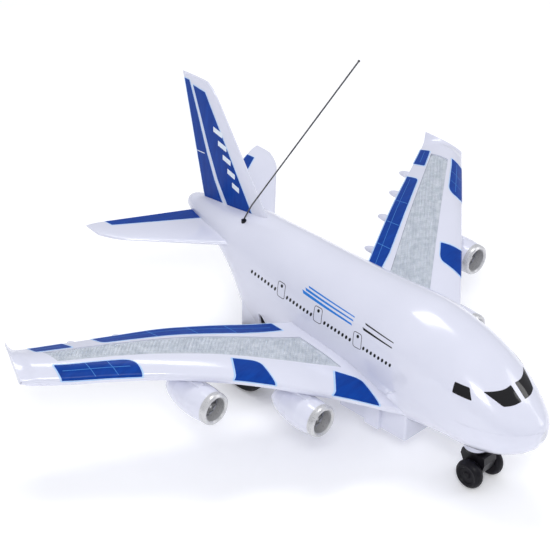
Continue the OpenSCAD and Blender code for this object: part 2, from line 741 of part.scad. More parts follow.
module speaker() {
    color(DARK)
    translate([0, SPEAKER_Y, SPEAKER_Z + 0.05])
        rotate_extrude($fn = ROUND_FN)
            polygon([[0, 1.2], [4, 0.8], [9.8, 0], [SPEAKER_R, 0], [SPEAKER_R, 1.5], [9, 2.6],
                [6, 3], [6, 6.2], [0, 6.2]]);
}

module power_switch() {
    color(SILVER)
    difference() {
        translate([-3.2, SWITCH_Y - 5.5, 22.6]) cube([6.4, 11, 5]);
        translate([-1.7, SWITCH_Y - 3.6, 22]) cube([3.4, 7.2, 3.4]);
    }
    color(BRASS)
    for (k = [-1:1])
        translate([-0.4, SWITCH_Y + 3.2 * k - 0.25, 27.6 - EPS]) cube([0.8, 0.5, 2.4]);
}

// Sliding knob of the power switch, in its off position at the front of the slot
SWITCH_TRAVEL = 3;

module switch_knob() {
    color(BLACK)
    translate([0, SWITCH_Y - SWITCH_TRAVEL / 2, 0]) {
        translate([-1.5, -1.8, 19.2]) cube([3, 3.6, 5.6]);
        for (k = [-1:1])
            translate([-1.5, 1.1 * k - 0.25, 18.9]) cube([3, 0.5, 0.5]);
    }
}

module shell_screws() {
    color(STEEL)
    for (y = SHELL_POSTS)
        translate([0, y, SCREW_SEAT_Z - 0.1]) rotate([180, 0, 0])
            pan_screw(2.4, 1.6, SCREW_R, 16);
}

// ---- drive --------------------------------------------------------------------------

// One tooth of a gear, pointing along +X: root half width, tip half width
module tooth(r_root, r_tip, half_root, half_tip) {
    polygon([[r_root - 0.3, -half_root], [r_tip, -half_tip], [r_tip, half_tip], [r_root - 0.3, half_root]]);
}

// Flat gear outline with the centre of its first tooth at a given angle
module gear_outline(teeth, first = 0) {
    pitch_r = gear_module * teeth / 2;
    half = gear_module * PI / 4 * 0.9;
    circle(r = pitch_r - 1.2 * gear_module, $fn = ROUND_FN);
    for (k = [0:teeth - 1])
        rotate(first + k * 360 / teeth)
            tooth(pitch_r - 1.2 * gear_module, pitch_r + 0.9 * gear_module, half * 1.35, half * 0.52);
}

// Gear between two positions along X, centred on a point in Y and Z
module gear_x(pos, x0, x1, teeth, first, bore_r) {
    along_x(x0, x1)
        translate(pos)
            difference() {
                gear_outline(teeth, first);
                circle(r = bore_r, $fn = 32);
            }
}

module main_axle() {
    color(STEEL)
    translate([0, WHEEL_Y, wheel_r])
        bar_x(-wheel_track / 2 + 3, wheel_track / 2 - 3, axle_d / 2, 48);
}

// A tooth points at the idler, so the idler has a gap there
module axle_gear() {
    color(TAN)
    gear_x(axle_pos, AXLE_GEAR_X, AXLE_GEAR_X + GEAR_W, AXLE_TEETH, IDLER_DIR, axle_d / 2 + 0.02);
    color(TAN)
    along_x(AXLE_GEAR_X - 1.4, AXLE_GEAR_X + EPS)
        translate(axle_pos)
            difference() {
                circle(r = 3.4, $fn = 32);
                circle(r = axle_d / 2 + 0.02, $fn = 32);
            }
}

module idler_gear() {
    gap = 180 / IDLER_SMALL;
    color(TAN) {
        gear_x(idler_pos, AXLE_GEAR_X - 0.5, AXLE_GEAR_X + GEAR_W + 1, IDLER_SMALL,
            IDLER_DIR + 180 + gap, SHAFT_R + 0.05);
        gear_x(idler_pos, AXLE_GEAR_X + GEAR_W + 1 - EPS, AXLE_GEAR_X + GEAR_W + 4, IDLER_LARGE,
            MOTOR_DIR, SHAFT_R + 0.05);
    }
}

module motor_pinion() {
    gap = 180 / PINION_TEETH;
    color(BRASS)
    gear_x(motor_pos, AXLE_GEAR_X + GEAR_W + 0.8, AXLE_GEAR_X + GEAR_W + 4.4, PINION_TEETH,
        MOTOR_DIR + 180 + gap, SHAFT_R + 0.01);
}

module motor_shaft() {
    color(STEEL)
    translate([0, motor_pos[0], motor_pos[1]])
        bar_x(CASE_X - MOTOR_LEN + 3, AXLE_GEAR_X + GEAR_W + 5, SHAFT_R, 32);
}

module idler_pin() {
    color(STEEL)
    translate([0, idler_pos[0], idler_pos[1]])
        bar_x(CASE_X, COVER_X + PLATE_T, SHAFT_R, 32);
}

module motor() {
    translate([0, motor_pos[0], motor_pos[1]]) {
        color(SILVER)
        difference() {
            union() {
                intersection() {
                    bar_x(CASE_X - MOTOR_LEN, CASE_X - 0.05, MOTOR_R);
                    translate([CASE_X - MOTOR_LEN, -MOTOR_R, -7.7]) cube([MOTOR_LEN, 2 * MOTOR_R, 15.4]);
                }
                bar_x(CASE_X - 1, CASE_X + 1.4, 3, 32);
            }
            bar_x(CASE_X - MOTOR_LEN + 2, CASE_X + 3, SHAFT_R + 0.05, 32);
        }
        color(WHITE)
            bar_x(CASE_X - MOTOR_LEN - 1.5, CASE_X - MOTOR_LEN + EPS, 6.5, 32);
    }
}

// Side plate of the gearbox between two positions along X, with its shaft holes
module gearbox_plate(x0, x1) {
    along_x(x0, x1)
        difference() {
            translate([44, 13.7]) square([40, 43]);
            translate(axle_pos) circle(r = axle_d / 2 + 0.08, $fn = 48);
            translate(idler_pos) circle(r = SHAFT_R + 0.01, $fn = 32);
            translate(motor_pos) circle(r = 3.1, $fn = 32);
            for (p = GEARBOX_POSTS)
                translate(p) circle(r = 0.9, $fn = 24);
        }
}

module gearbox_case() {
    color(TAN) {
        gearbox_plate(CASE_X, CASE_X + PLATE_T);
        along_x(CASE_X + PLATE_T - EPS, COVER_X - 0.05)
            for (p = GEARBOX_POSTS)
                translate(p)
                    difference() {
                        circle(r = 2.8, $fn = 32);
                        circle(r = 0.9, $fn = 24);
                    }
    }
}

module gearbox_cover() {
    color(TAN) gearbox_plate(COVER_X, COVER_X + PLATE_T);
}

module gearbox_screws() {
    color(STEEL)
    for (p = GEARBOX_POSTS)
        translate([COVER_X + PLATE_T + 0.05, p[0], p[1]]) rotate([0, 90, 0])
            pan_screw(2, 1.3, 0.86, 8);
}

module axle_bushes() {
    color(BRASS)
    for (side = [-1, 1])
        translate([0, WHEEL_Y, wheel_r]) mirror([side > 0 ? 0 : 1, 0, 0])
            difference() {
                union() {
                    bar_x(GEAR_BAY_HALF - shell_t - 0.1, GEAR_BAY_HALF + 0.6, 3.05, 48);
                    bar_x(GEAR_BAY_HALF - shell_t - 1.3, GEAR_BAY_HALF - shell_t - 0.1, 4.3, 48);
                }
                bar_x(GEAR_BAY_HALF - 6, GEAR_BAY_HALF + 2, axle_d / 2 + 0.05, 48);
            }
}

// Moulded wheel: grooved tread, dished outer face and a hub that grips the axle
module main_wheel(side) {
    w = wheel_w;
    r = wheel_r;
    groove = 0.8;
    tread = [for (k = [0:4]) let (x = 2.2 + k * (w - 5.4) / 4)
        each [[r, x], [r - groove, x + 0.2], [r - groove, x + 0.8], [r, x + 1]]];
    color(BLACK)
    translate([side * (wheel_track / 2 - wheel_w), WHEEL_Y, wheel_r])
        rotate([0, side * 90, 0])
            rotate_extrude($fn = 96)
                polygon(concat(
                    [[axle_d / 2 + 0.02, 0], [6, 0], [6, 3], [16, 3], [16, 0.6], [r - 1.4, 0], [r, 1.4]],
                    tread,
                    [[r, w - 1.6], [r - 1.6, w], [17, w - 0.4], [15.5, w - 3], [6.5, w - 4],
                    [5.5, w - 1], [2.6, w - 0.6], [0, w - 0.6], [0, w - 3], [axle_d / 2 + 0.02, w - 3]]));
}

// ---- nose gear ------------------------------------------------------------------------

module nose_strut() {
    color(BLACK)
    difference() {
        union() {
            translate([0, NOSE_PIVOT_Y, 20]) cylinder(h = BOSS_TOP_Z - 20.2, r = 2, $fn = 48);
            translate([0, NOSE_PIVOT_Y, BOSS_Z - 3.6]) cylinder(h = 3.2, r = 7.6, $fn = 48);
            along_x(-NOSE_BLOCK_HALF, NOSE_BLOCK_HALF)
                polygon([[-106.5, 24.6], [-105.5, 20], [-109, 13], [-114, 7.6], [-118, 6.6], [-121.6, 7.6],
                    [-124.6, 12], [-126.6, 19], [-126, 24.6]]);
        }
        translate([0, NOSE_WHEEL_Y, nose_wheel_r]) bar_x(-10, 10, 1.05, 32);
        translate([0, NOSE_PIVOT_Y, BOSS_TOP_Z - 9]) cylinder(h = 10, r = 0.9, $fn = 24);
    }
}

module nose_pivot_screw() {
    color(STEEL)
    translate([0, NOSE_PIVOT_Y, BOSS_TOP_Z + 0.1]) pan_screw(3.2, 1.4, 0.86, 7);
}

module nose_axle() {
    reach = NOSE_BLOCK_HALF + NOSE_WHEEL_W - 1.4;
    color(STEEL)
    translate([0, NOSE_WHEEL_Y, nose_wheel_r]) bar_x(-reach, reach, 1, 32);
}

module nose_wheel(side) {
    w = NOSE_WHEEL_W;
    r = nose_wheel_r;
    color(BLACK)
    translate([side * (NOSE_BLOCK_HALF + 0.5), NOSE_WHEEL_Y, nose_wheel_r])
        rotate([0, side * 90, 0])
            rotate_extrude($fn = ROUND_FN)
                polygon([[1.02, 0], [4, 0], [4.2, 0.6], [r - 2.4, 0.4], [r - 1.2, 0.9], [r - 0.4, 2],
                    [r, 3.6], [r, 4.4], [r - 0.4, 5.9], [r - 1.2, 7], [r - 2.6, w], [r - 4, w - 0.2],
                    [r - 4.8, w - 1.2], [3, w - 1.2], [2.4, w - 0.2], [0, w], [0, w - 1.4], [1.02, w - 1.4]]);
}

// ---- assembly -------------------------------------------------------------------------

upper_shell();
lower_shell();
cockpit_glazing();
wing_upper(1);  // wing_upper_port
wing_upper(-1);  // wing_upper_starboard
wing_lower(1);  // wing_lower_port
wing_lower(-1);  // wing_lower_starboard
wing_lens(1);  // wing_lens_port
wing_lens(-1);  // wing_lens_starboard
led_board(1);  // led_board_port
led_board(-1);  // led_board_starboard
nacelle(1, OUTER_ENGINE);  // nacelle_outer_port
nacelle(1, INNER_ENGINE);  // nacelle_inner_port
nacelle(-1, OUTER_ENGINE);  // nacelle_outer_starboard
nacelle(-1, INNER_ENGINE);  // nacelle_inner_starboard
intake_ring(1, OUTER_ENGINE);  // intake_ring_outer_port
intake_ring(1, INNER_ENGINE);  // intake_ring_inner_port
intake_ring(-1, OUTER_ENGINE);  // intake_ring_outer_starboard
intake_ring(-1, INNER_ENGINE);  // intake_ring_inner_starboard
fan(1, OUTER_ENGINE);  // fan_outer_port
fan(1, INNER_ENGINE);  // fan_inner_port
fan(-1, OUTER_ENGINE);  // fan_outer_starboard
fan(-1, INNER_ENGINE);  // fan_inner_starboard
tail_fin();
tailplane(1);  // tailplane_port
tailplane(-1);  // tailplane_starboard
antenna_wire();
antenna_bush();
battery_door();
battery_door_screw();
battery(0);  // battery_1
battery(1);  // battery_2
battery(2);  // battery_3
battery_contacts();
main_board();
board_screws();
speaker();
power_switch();
switch_knob();
gearbox_case();
gearbox_cover();
gearbox_screws();
motor();
motor_shaft();
motor_pinion();
idler_gear();
idler_pin();
main_axle();
axle_gear();
axle_bushes();
main_wheel(1);  // main_wheel_port
main_wheel(-1);  // main_wheel_starboard
nose_strut();
nose_pivot_screw();
nose_axle();
nose_wheel(1);  // nose_wheel_port
nose_wheel(-1);  // nose_wheel_starboard
shell_screws();
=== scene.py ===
import json
import math

import bpy
from mathutils import Matrix, Vector
from mathutils.geometry import delaunay_2d_cdt


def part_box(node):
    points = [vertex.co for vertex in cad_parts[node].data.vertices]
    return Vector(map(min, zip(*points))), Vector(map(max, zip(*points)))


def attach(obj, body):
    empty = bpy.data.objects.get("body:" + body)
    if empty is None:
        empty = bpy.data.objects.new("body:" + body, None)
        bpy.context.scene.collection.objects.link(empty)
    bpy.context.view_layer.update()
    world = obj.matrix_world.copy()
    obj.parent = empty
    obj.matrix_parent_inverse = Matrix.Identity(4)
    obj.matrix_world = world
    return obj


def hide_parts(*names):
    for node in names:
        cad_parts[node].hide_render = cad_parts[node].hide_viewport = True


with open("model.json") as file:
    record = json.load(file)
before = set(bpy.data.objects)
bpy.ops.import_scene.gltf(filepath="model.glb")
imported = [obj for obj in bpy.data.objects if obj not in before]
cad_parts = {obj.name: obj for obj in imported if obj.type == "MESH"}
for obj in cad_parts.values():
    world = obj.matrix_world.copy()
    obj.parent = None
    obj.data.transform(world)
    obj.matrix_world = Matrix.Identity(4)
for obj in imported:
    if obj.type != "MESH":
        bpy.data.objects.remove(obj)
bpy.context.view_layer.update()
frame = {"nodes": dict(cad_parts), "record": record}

MM = 0.001

# ---- camera and stage ---------------------------------------------------------------

scene = bpy.context.scene
camera_data = bpy.data.cameras.new("view_camera")
camera = bpy.data.objects.new("view_camera", camera_data)
scene.collection.objects.link(camera)
scene.camera = camera

YAW, PITCH, ROLL = (math.radians(a) for a in (45.8675, 32.3654, 1.0013))
aim = Vector((math.sin(YAW) * math.cos(PITCH), math.cos(YAW) * math.cos(PITCH), -math.sin(PITCH)))
level = Vector((math.cos(YAW), -math.sin(YAW), 0))
upright = level.cross(aim)
right = level * math.cos(ROLL) + upright * math.sin(ROLL)
up = upright * math.cos(ROLL) - level * math.sin(ROLL)
turn = Matrix((right, up, -aim)).transposed().to_4x4()
camera.matrix_world = Matrix.Translation((-0.869842, -0.763777, 0.843552)) @ turn
camera_data.sensor_width = 36
camera_data.lens = 129.553
camera_data.dof.use_dof = False
camera_data.clip_start = 0.05
camera_data.clip_end = 20


def link(obj):
    scene.collection.objects.link(obj)
    return obj


# ---- materials ----------------------------------------------------------------------


class Nodes:
    """Short calls for building a node tree."""

    def __init__(self, name):
        self.material = bpy.data.materials.new(name)
        self.material.use_nodes = True
        self.tree = self.material.node_tree
        self.shader = self.tree.nodes["Principled BSDF"]
        self.place = self.tree.nodes.new("ShaderNodeTexCoord").outputs["Object"]

    def new(self, kind, **values):
        node = self.tree.nodes.new(kind)
        for key, value in values.items():
            setattr(node, key, value)
        return node

    def join(self, a, b):
        self.tree.links.new(a, b)

    def noise(self, scale, detail=3, rough=0.5, stretch=None):
        node = self.new("ShaderNodeTexNoise")
        node.inputs["Scale"].default_value = scale
        node.inputs["Detail"].default_value = detail
        node.inputs["Roughness"].default_value = rough
        if stretch:
            mapping = self.new("ShaderNodeMapping")
            mapping.inputs["Scale"].default_value = stretch
            self.join(self.place, mapping.inputs["Vector"])
            self.join(mapping.outputs["Vector"], node.inputs["Vector"])
        else:
            self.join(self.place, node.inputs["Vector"])
        return node.outputs["Fac"]

    def ramp(self, value, stops):
        node = self.new("ShaderNodeValToRGB")
        ramp = node.color_ramp
        while len(ramp.elements) < len(stops):
            ramp.elements.new(0.5)
        for element, (at, colour) in zip(ramp.elements, stops):
            element.position = at
            element.color = (*colour, 1)
        self.join(value, node.inputs["Fac"])
        return node.outputs["Color"]

    def spread(self, value, low, high, start=0.3, end=0.7):
        node = self.new("ShaderNodeMapRange")
        for key, v in (("From Min", start), ("From Max", end), ("To Min", low), ("To Max", high)):
            node.inputs[key].default_value = v
        self.join(value, node.inputs["Value"])
        return node.outputs["Result"]

    def bump(self, height, strength, distance=0.0002, under=None):
        node = self.new("ShaderNodeBump")
        node.inputs["Strength"].default_value = strength
        node.inputs["Distance"].default_value = distance
        self.join(height, node.inputs["Height"])
        if under is not None:
            self.join(under, node.inputs["Normal"])
        return node.outputs["Normal"]

    def set(self, **values):
        for key, value in values.items():
            self.shader.inputs[key.replace("_", " ")].default_value = value

    def finish(self, colour, rough, normal=None):
        self.join(colour, self.shader.inputs["Base Color"])
        self.join(rough, self.shader.inputs["Roughness"])
        if normal is not None:
            self.join(normal, self.shader.inputs["Normal"])
        return self.material


def plastic(name, light, dark, rough=(0.16, 0.24), coat=0.3, wave=0.05, grain=0.0,
            grain_size=2500, shine=0.5):
    """Moulded plastic: slow colour drift, uneven gloss, faint ripple, and a fine grain if asked."""
    n = Nodes(name)
    drift = n.noise(18, 4)
    colour = n.ramp(drift, [(0.3, dark), (0.7, light)])
    gloss = n.spread(n.noise(60, 5, 0.6), rough[0], rough[1])
    normal = n.bump(n.noise(90, 2), wave, 0.0004)
    if grain:
        normal = n.bump(n.noise(grain_size, 2), grain, 0.00006, normal)
    n.set(Coat_Weight=coat, Coat_Roughness=0.08, IOR=1.5, Specular_IOR_Level=shine)
    return n.finish(colour, gloss, normal)


def paint(name, light, dark, rough=(0.3, 0.42), shine=0.3):
    """Sprayed ink: streaks along the wing, fine speckle and a satin gloss."""
    n = Nodes(name)
    streak = n.noise(60, 5, 0.6, (1, 5, 1))
    colour = n.ramp(streak, [(0.28, dark), (0.72, light)])
    gloss = n.spread(n.noise(900, 3, 0.6), rough[0], rough[1])
    normal = n.bump(n.noise(1600, 3), 0.12, 0.00004)
    n.set(Coat_Weight=0.06, Coat_Roughness=0.15, Specular_IOR_Level=shine)
    return n.finish(colour, gloss, normal)


def metal(name, light, dark, rough=(0.24, 0.4), grain=1200, stretch=None, strength=0.15, solid=0.9):
    n = Nodes(name)
    fine = n.noise(grain, 4, 0.6, stretch)
    colour = n.ramp(n.noise(70, 4), [(0.3, dark), (0.7, light)])
    gloss = n.spread(fine, rough[0], rough[1])
    normal = n.bump(fine, strength, 0.00003)
    n.set(Metallic=solid)
    return n.finish(colour, gloss, normal)


def clear_lens(name):
    """Prismatic clear plastic over a white reflector."""
    n = Nodes(name)
    cloud = n.noise(220, 3)
    colour = n.ramp(cloud, [(0.3, (0.60, 0.66, 0.74)), (0.7, (0.85, 0.90, 0.97))])
    gloss = n.spread(n.noise(500, 2), 0.05, 0.14)
    n.set(Transmission_Weight=0.3, IOR=1.49, Coat_Weight=0.6, Coat_Roughness=0.04)
    return n.finish(colour, gloss)


def radial_ramp(name, centre, stops, metallic, rough=(0.3, 0.45)):
    """Colour by the distance from an axis along Y, for the fans."""
    n = Nodes(name)
    shift = n.new("ShaderNodeMapping")
    shift.vector_type = "POINT"
    shift.inputs["Location"].default_value = (-centre[0], 0, -centre[2])
    shift.inputs["Scale"].default_value = (1, 0, 1)
    n.join(n.place, shift.inputs["Vector"])
    length = n.new("ShaderNodeVectorMath", operation="LENGTH")
    n.join(shift.outputs["Vector"], length.inputs[0])
    away = n.spread(length.outputs["Value"], 0, 1, 0, 0.01)
    ring = n.ramp(away, stops)
    mix = n.new("ShaderNodeMix", data_type="RGBA", blend_type="MULTIPLY")
    mix.inputs["Factor"].default_value = 0.5
    n.join(ring, mix.inputs["A"])
    n.join(n.ramp(n.noise(400, 4), [(0.3, (0.6, 0.6, 0.6)), (0.7, (1, 1, 1))]), mix.inputs["B"])
    n.set(Metallic=metallic)
    return n.finish(mix.outputs["Result"], n.spread(n.noise(700, 3), rough[0], rough[1]))


WHITE = plastic("white_plastic", (0.74, 0.752, 0.86), (0.70, 0.712, 0.82), coat=0.5)
WHITE_UNDER = plastic("white_underside", (0.74, 0.75, 0.86), (0.70, 0.71, 0.82), (0.24, 0.34), 0.2, grain=0.1)
BLUE = paint("royal_blue_ink", (0.001, 0.055, 0.35), (0.0008, 0.035, 0.25), shine=0.12)
BLUE_LINE = paint("fine_panel_lines", (0.02, 0.16, 0.52), (0.06, 0.24, 0.62))
HALO = paint("thin_blue_overspray", (0.50, 0.68, 0.90), (0.36, 0.56, 0.86))
STRIPE_BLUE = paint("sky_blue_ink", (0.02, 0.23, 0.72), (0.015, 0.19, 0.62))
INK = paint("black_ink", (0.008, 0.008, 0.01), (0.003, 0.003, 0.004))
WHITE_INK = paint("white_ink", (0.80, 0.86, 0.93), (0.72, 0.8, 0.9))
LENS = clear_lens("prismatic_lens")
SILVER = metal("silver_paint", (0.66, 0.66, 0.67), (0.54, 0.54, 0.55), solid=0.45)
GLAZING = plastic("black_glazing", (0.004, 0.004, 0.005), (0.001, 0.001, 0.002), (0.04, 0.1),
                  0.3, 0.03, shine=0.3)
BLACK = plastic("black_plastic", (0.010, 0.009, 0.012), (0.004, 0.004, 0.006), (0.3, 0.45),
                0.05, 0.1, 0.15, shine=0.3)
TYRE = plastic("black_wheel", (0.007, 0.006, 0.010), (0.003, 0.003, 0.005), (0.38, 0.55),
               0.03, 0.1, 0.25, shine=0.18)
WIRE = metal("dark_spring_wire", (0.12, 0.12, 0.12), (0.06, 0.06, 0.065), (0.25, 0.4), 2500)
STEEL = metal("steel", (0.62, 0.62, 0.64), (0.45, 0.45, 0.47), (0.2, 0.35), 1500)
BRASS = metal("brass", (0.72, 0.52, 0.22), (0.5, 0.35, 0.14), (0.22, 0.38))
BOARD = plastic("circuit_board", (0.03, 0.2, 0.08), (0.015, 0.13, 0.05), (0.25, 0.4), 0.4, 0.1, 0.3)
SLEEVE = plastic("battery_sleeve", (0.05, 0.05, 0.06), (0.02, 0.02, 0.03), (0.18, 0.3), 0.5)
NYLON = plastic("gear_nylon", (0.7, 0.67, 0.58), (0.6, 0.57, 0.48), (0.35, 0.5), 0.1, 0.1, 0.2)

BY_SLOT = {"white_shell": WHITE, "clear_lens": LENS, "satin_silver": SILVER, "fan_grey": SILVER,
           "black_gloss": GLAZING, "black_plastic": BLACK, "steel_wire": WIRE, "steel": STEEL,
           "motor_can": STEEL, "circuit_board": BOARD, "battery_sleeve": SLEEVE,
           "gear_nylon": NYLON, "brass": BRASS}

slot_of = {entry["node"]: entry["material_slot"] for entry in frame["record"]["subparts"]}
for node_name, obj in frame["nodes"].items():
    finish = BY_SLOT.get(slot_of.get(node_name), WHITE)
    if "wheel" in node_name:
        finish = TYRE
    if node_name.startswith("fan_"):
        low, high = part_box(node_name)
        finish = radial_ramp(
            "finish_" + node_name, (low + high) / 2,
            [(0, (0.7, 0.7, 0.7)), (0.22, (0.65, 0.65, 0.65)), (0.3, (0.2, 0.2, 0.21)),
             (0.75, (0.45, 0.45, 0.46)), (0.95, (0.16, 0.16, 0.17))], 0.2)
    if not obj.material_slots:
        obj.data.materials.append(finish)
    for material_slot in obj.material_slots:
        material_slot.material = finish


# ---- curves of the body, as in the part's source, in millimetres ------------------------

FUSELAGE = [
    (-167, 0.3, 65.3, 64.7), (-166, 6.5, 69.5, 56.5), (-163, 12, 72.5, 51), (-158, 18, 76, 46.8),
    (-150, 24, 81.5, 42.6), (-140, 28.5, 90, 39), (-128, 32, 99, 35.8), (-115, 34, 106.5, 34.2),
    (-100, 35.3, 112.5, 34), (-80, 36, 118, 31), (-60, 36, 120.8, 27), (-25, 36, 119.5, 20),
    (5, 36, 118.3, 20), (30, 34.5, 118.5, 20), (60, 31, 119.8, 21), (82, 28.5, 120, 26),
    (92, 27, 119.8, 44), (100, 25.5, 119.3, 60), (108, 24, 118.5, 72), (118, 21.5, 117, 81.5),
    (130, 18.3, 115.3, 87.5), (145, 13.8, 113, 92.5), (158, 9.3, 110.6, 96),
    (166, 5.5, 108.3, 98.5), (170, 0.3, 103.7, 103.2)]
SEAM = [(-200, 67), (-106, 67.5), (-84, 69.5), (-72, 69), (-62, 61), (-52, 56), (40, 56), (84, 66), (200, 66)]
WING = [
    (24, 41, 71.5), (40, 47.8, 73.9), (60, 56.8, 76.6), (80, 63.9, 80.2), (100, 70.6, 83.3),
    (120, 75.5, 85.6), (150, 80, 86.2), (175, 80.4, 86.6), (200, 79.2, 87), (212, 79, 87.5),
    (218, 79.1, 88.5), (221.5, 79.5, 91.2), (225, 80.6, 95.6)]
POWER = 2.15


def curve(table, p, c):
    i = 0
    while i < len(table) - 2 and p > table[i + 1][0]:
        i += 1
    a, b = table[i], table[i + 1]

    def slope(k):
        u, v = table[max(k - 1, 0)], table[min(k + 1, len(table) - 1)]
        return (v[c] - u[c]) / (v[0] - u[0])

    h = b[0] - a[0]
    s = (p - a[0]) / h
    return ((2 * s**3 - 3 * s**2 + 1) * a[c] + (3 * s**2 - 2 * s**3) * b[c]
            + h * ((s**3 - 2 * s**2 + s) * slope(i) + (s**3 - s**2) * slope(i + 1)))


def straight(table, p):
    for a, b in zip(table, table[1:]):
        if p <= b[0]:
            return a[1] + (b[1] - a[1]) * (p - a[0]) / (b[0] - a[0])
    return table[-1][1]


def spow(v, p):
    return math.copysign(abs(v) ** p, v)


def hull_at(y):
    """Half width, middle height and half height of the fuselage at y."""
    y = min(max(y, -167), 170)
    top, low = curve(FUSELAGE, y, 2), curve(FUSELAGE, y, 3)
    return max(curve(FUSELAGE, y, 1), 0.2), (top + low) / 2, max((top - low) / 2, 0.2)


def hull_point(y, angle, inset=0.0):
    w, mid, h = hull_at(y)
    w, h = max(w - inset, 0.1), max(h - inset, 0.1)
    return Vector((w * spow(math.cos(angle), 2 / POWER), y, mid + h * spow(math.sin(angle), 2 / POWER)))


def hull_value(p):
    w, mid, h = hull_at(p[1])
    return (abs(p[0]) / w) ** POWER + (abs(p[2] - mid) / h) ** POWER - 1


def hull_gradient(p):
    e = 0.05
    return Vector((
        hull_value((p[0] + e, p[1], p[2])) - hull_value((p[0] - e, p[1], p[2])),
        hull_value((p[0], p[1] + e, p[2])) - hull_value((p[0], p[1] - e, p[2])),
        hull_value((p[0], p[1], p[2] + e)) - hull_value((p[0], p[1], p[2] - e)))) / (2 * e)


def flank(side):
    """Point on the side of the fuselage over (y, z), and its normal."""
    def place(u, v):
        w, mid, h = hull_at(u)
        t = min(abs(v - mid) / h, 1)
        p = Vector((side * w * (1 - t**POWER) ** (1 / POWER), u, v))
        return p, hull_gradient(p).normalized()
    return place


def nose_front(side):
    """Point on the front of the fuselage over (x, z), and its normal."""
    def place(u, v):
        a, b = -167.0, -90.0
        for _ in range(40):
            y = (a + b) / 2
            if hull_value((u, y, v)) > 0:
                a = y
            else:
                b = y
        p = Vector((side * u, b, v))
        return p, hull_gradient(p).normalized()
    return place


def tip_x(x, s):
    """Near the tip the stations turn, so that the tip is cut off at a slant."""
    return x - max(x - 195, 0) * 0.38 * s


def front_y(x):
    return -62.5 + 0.845 * (x - 40)


def rear_y(x):
    return 32.6 + 0.52 * (tip_x(x, 1) - 40)


def chord_y(x, s):
    return front_y(x) + s * (rear_y(x) - front_y(x))


def low_z(x, s):
    return curve(WING, x, 1) * (1 - s) + (curve(WING, x, 2) - 0.4) * s


def top_z(x, s):
    crown = 6.9 * (1 - (x - 216) / 12 if x > 216 else 1) + max(60 - x, 0) * 0.05
    return low_z(x, s) + 5 * (1 - s) + 1.9 * s + crown * math.sin(math.pi * s**0.7)


EDGE = 3.0


def wing_point(x, s, inset=0.0):
    """Wing skin: s from 0 to 1 is the upper side, 0 to -1 the lower, with a rounded front edge."""
    chord = rear_y(x) - front_y(x)
    s0 = EDGE / chord
    out = tip_x(x, abs(s))
    if s >= s0:
        return Vector((out, chord_y(x, s), max(top_z(x, s) - inset, (top_z(x, s) + low_z(x, s)) / 2 + 0.03)))
    if s <= -s0:
        s = -s
        return Vector((out, chord_y(x, s), min(low_z(x, s) + inset, (top_z(x, s) + low_z(x, s)) / 2 - 0.03)))
    high, low = top_z(x, s0), low_z(x, s0)
    mid = (high + low) / 2
    if s >= 0:
        rise, end = (top_z(x, s0 + 0.01) - high) / (0.01 * chord), high
    else:
        rise, end = (low_z(x, s0 + 0.01) - low) / (0.01 * chord), low
    t = abs(s) / s0
    reach = EDGE * 0.5
    ends = ((0, mid), (0, mid + (end - mid) * 0.62), (EDGE - reach, end - reach * rise), (EDGE, end))
    weights = ((1 - t) ** 3, 3 * t * (1 - t) ** 2, 3 * t * t * (1 - t), t**3)
    dy = sum(w * e[0] for w, e in zip(weights, ends))
    z = sum(w * e[1] for w, e in zip(weights, ends))
    if inset:
        dy = dy + (EDGE + inset - dy) * min(inset / 4, 1)
        z = mid + math.copysign(max(abs(z - mid) - inset, 0.03), s if s else 1)
    return Vector((out, front_y(x) + dy, z))


def wing_over(side):
    """Point on the upper wing skin over (x, s), and its normal."""
    def place(u, v):
        p = wing_point(u, v)
        du = wing_point(u + 0.2, v) - wing_point(u - 0.2, v)
        dv = wing_point(u, v + 0.002) - wing_point(u, v - 0.002)
        n = du.cross(dv).normalized()
        if side < 0:
            return Vector((-p.x, p.y, p.z)), Vector((-n.x, n.y, n.z))
        return p, n
    return place


# ---- mesh helpers ---------------------------------------------------------------------


def mesh_piece(name, points, faces, finish, body="airframe", slot="white_shell", sharp=40):
    mesh = bpy.data.meshes.new(name)
    mesh.from_pydata([tuple(c * MM for c in p) for p in points], [], faces)
    mesh.validate()
    mesh.update()
    mesh.polygons.foreach_set("use_smooth", [True] * len(mesh.polygons))
    mesh.set_sharp_from_angle(angle=math.radians(sharp))
    mesh.materials.append(finish)
    obj = link(bpy.data.objects.new(name, mesh))
    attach(obj, body)
    return obj


def grid_faces(rows, cols, offset=0, wrap=False, flip=False, keep=None):
    faces = []
    for i in range(rows - 1):
        for j in range(cols if wrap else cols - 1):
            if keep and not keep(i, j):
                continue
            a, b = offset + i * cols + j, offset + i * cols + (j + 1) % cols
            quad = (a, b, b + cols, a + cols)
            faces.append(quad[::-1] if flip else quad)
    return faces


def thick_sheet(name, outer, inner, keep, finish, flip, **more):
    """Closed sheet between two grids of points, with rims round every missing cell."""
    rows, cols = len(outer), len(outer[0])
    count = rows * cols
    points = [p for r in outer for p in r] + [p for r in inner for p in r]
    top = grid_faces(rows, cols, 0, flip=flip, keep=keep)
    faces = list(top) + [tuple(v + count for v in f[::-1]) for f in top]
    edges = {}
    for f in top:
        for a, b in zip(f, f[1:] + f[:1]):
            if (b, a) in edges:
                del edges[(b, a)]
            else:
                edges[(a, b)] = True
    faces += [(b, a, a + count, b + count) for a, b in edges]
    return mesh_piece(name, points, faces, finish, **more)


def resample(loop, step):
    out = []
    for (ax, ay), (bx, by) in zip(loop, loop[1:] + loop[:1]):
        n = max(1, math.ceil(math.hypot(bx - ax, by - ay) / step))
        out += [(ax + (bx - ax) * k / n, ay + (by - ay) * k / n) for k in range(n)]
    return out


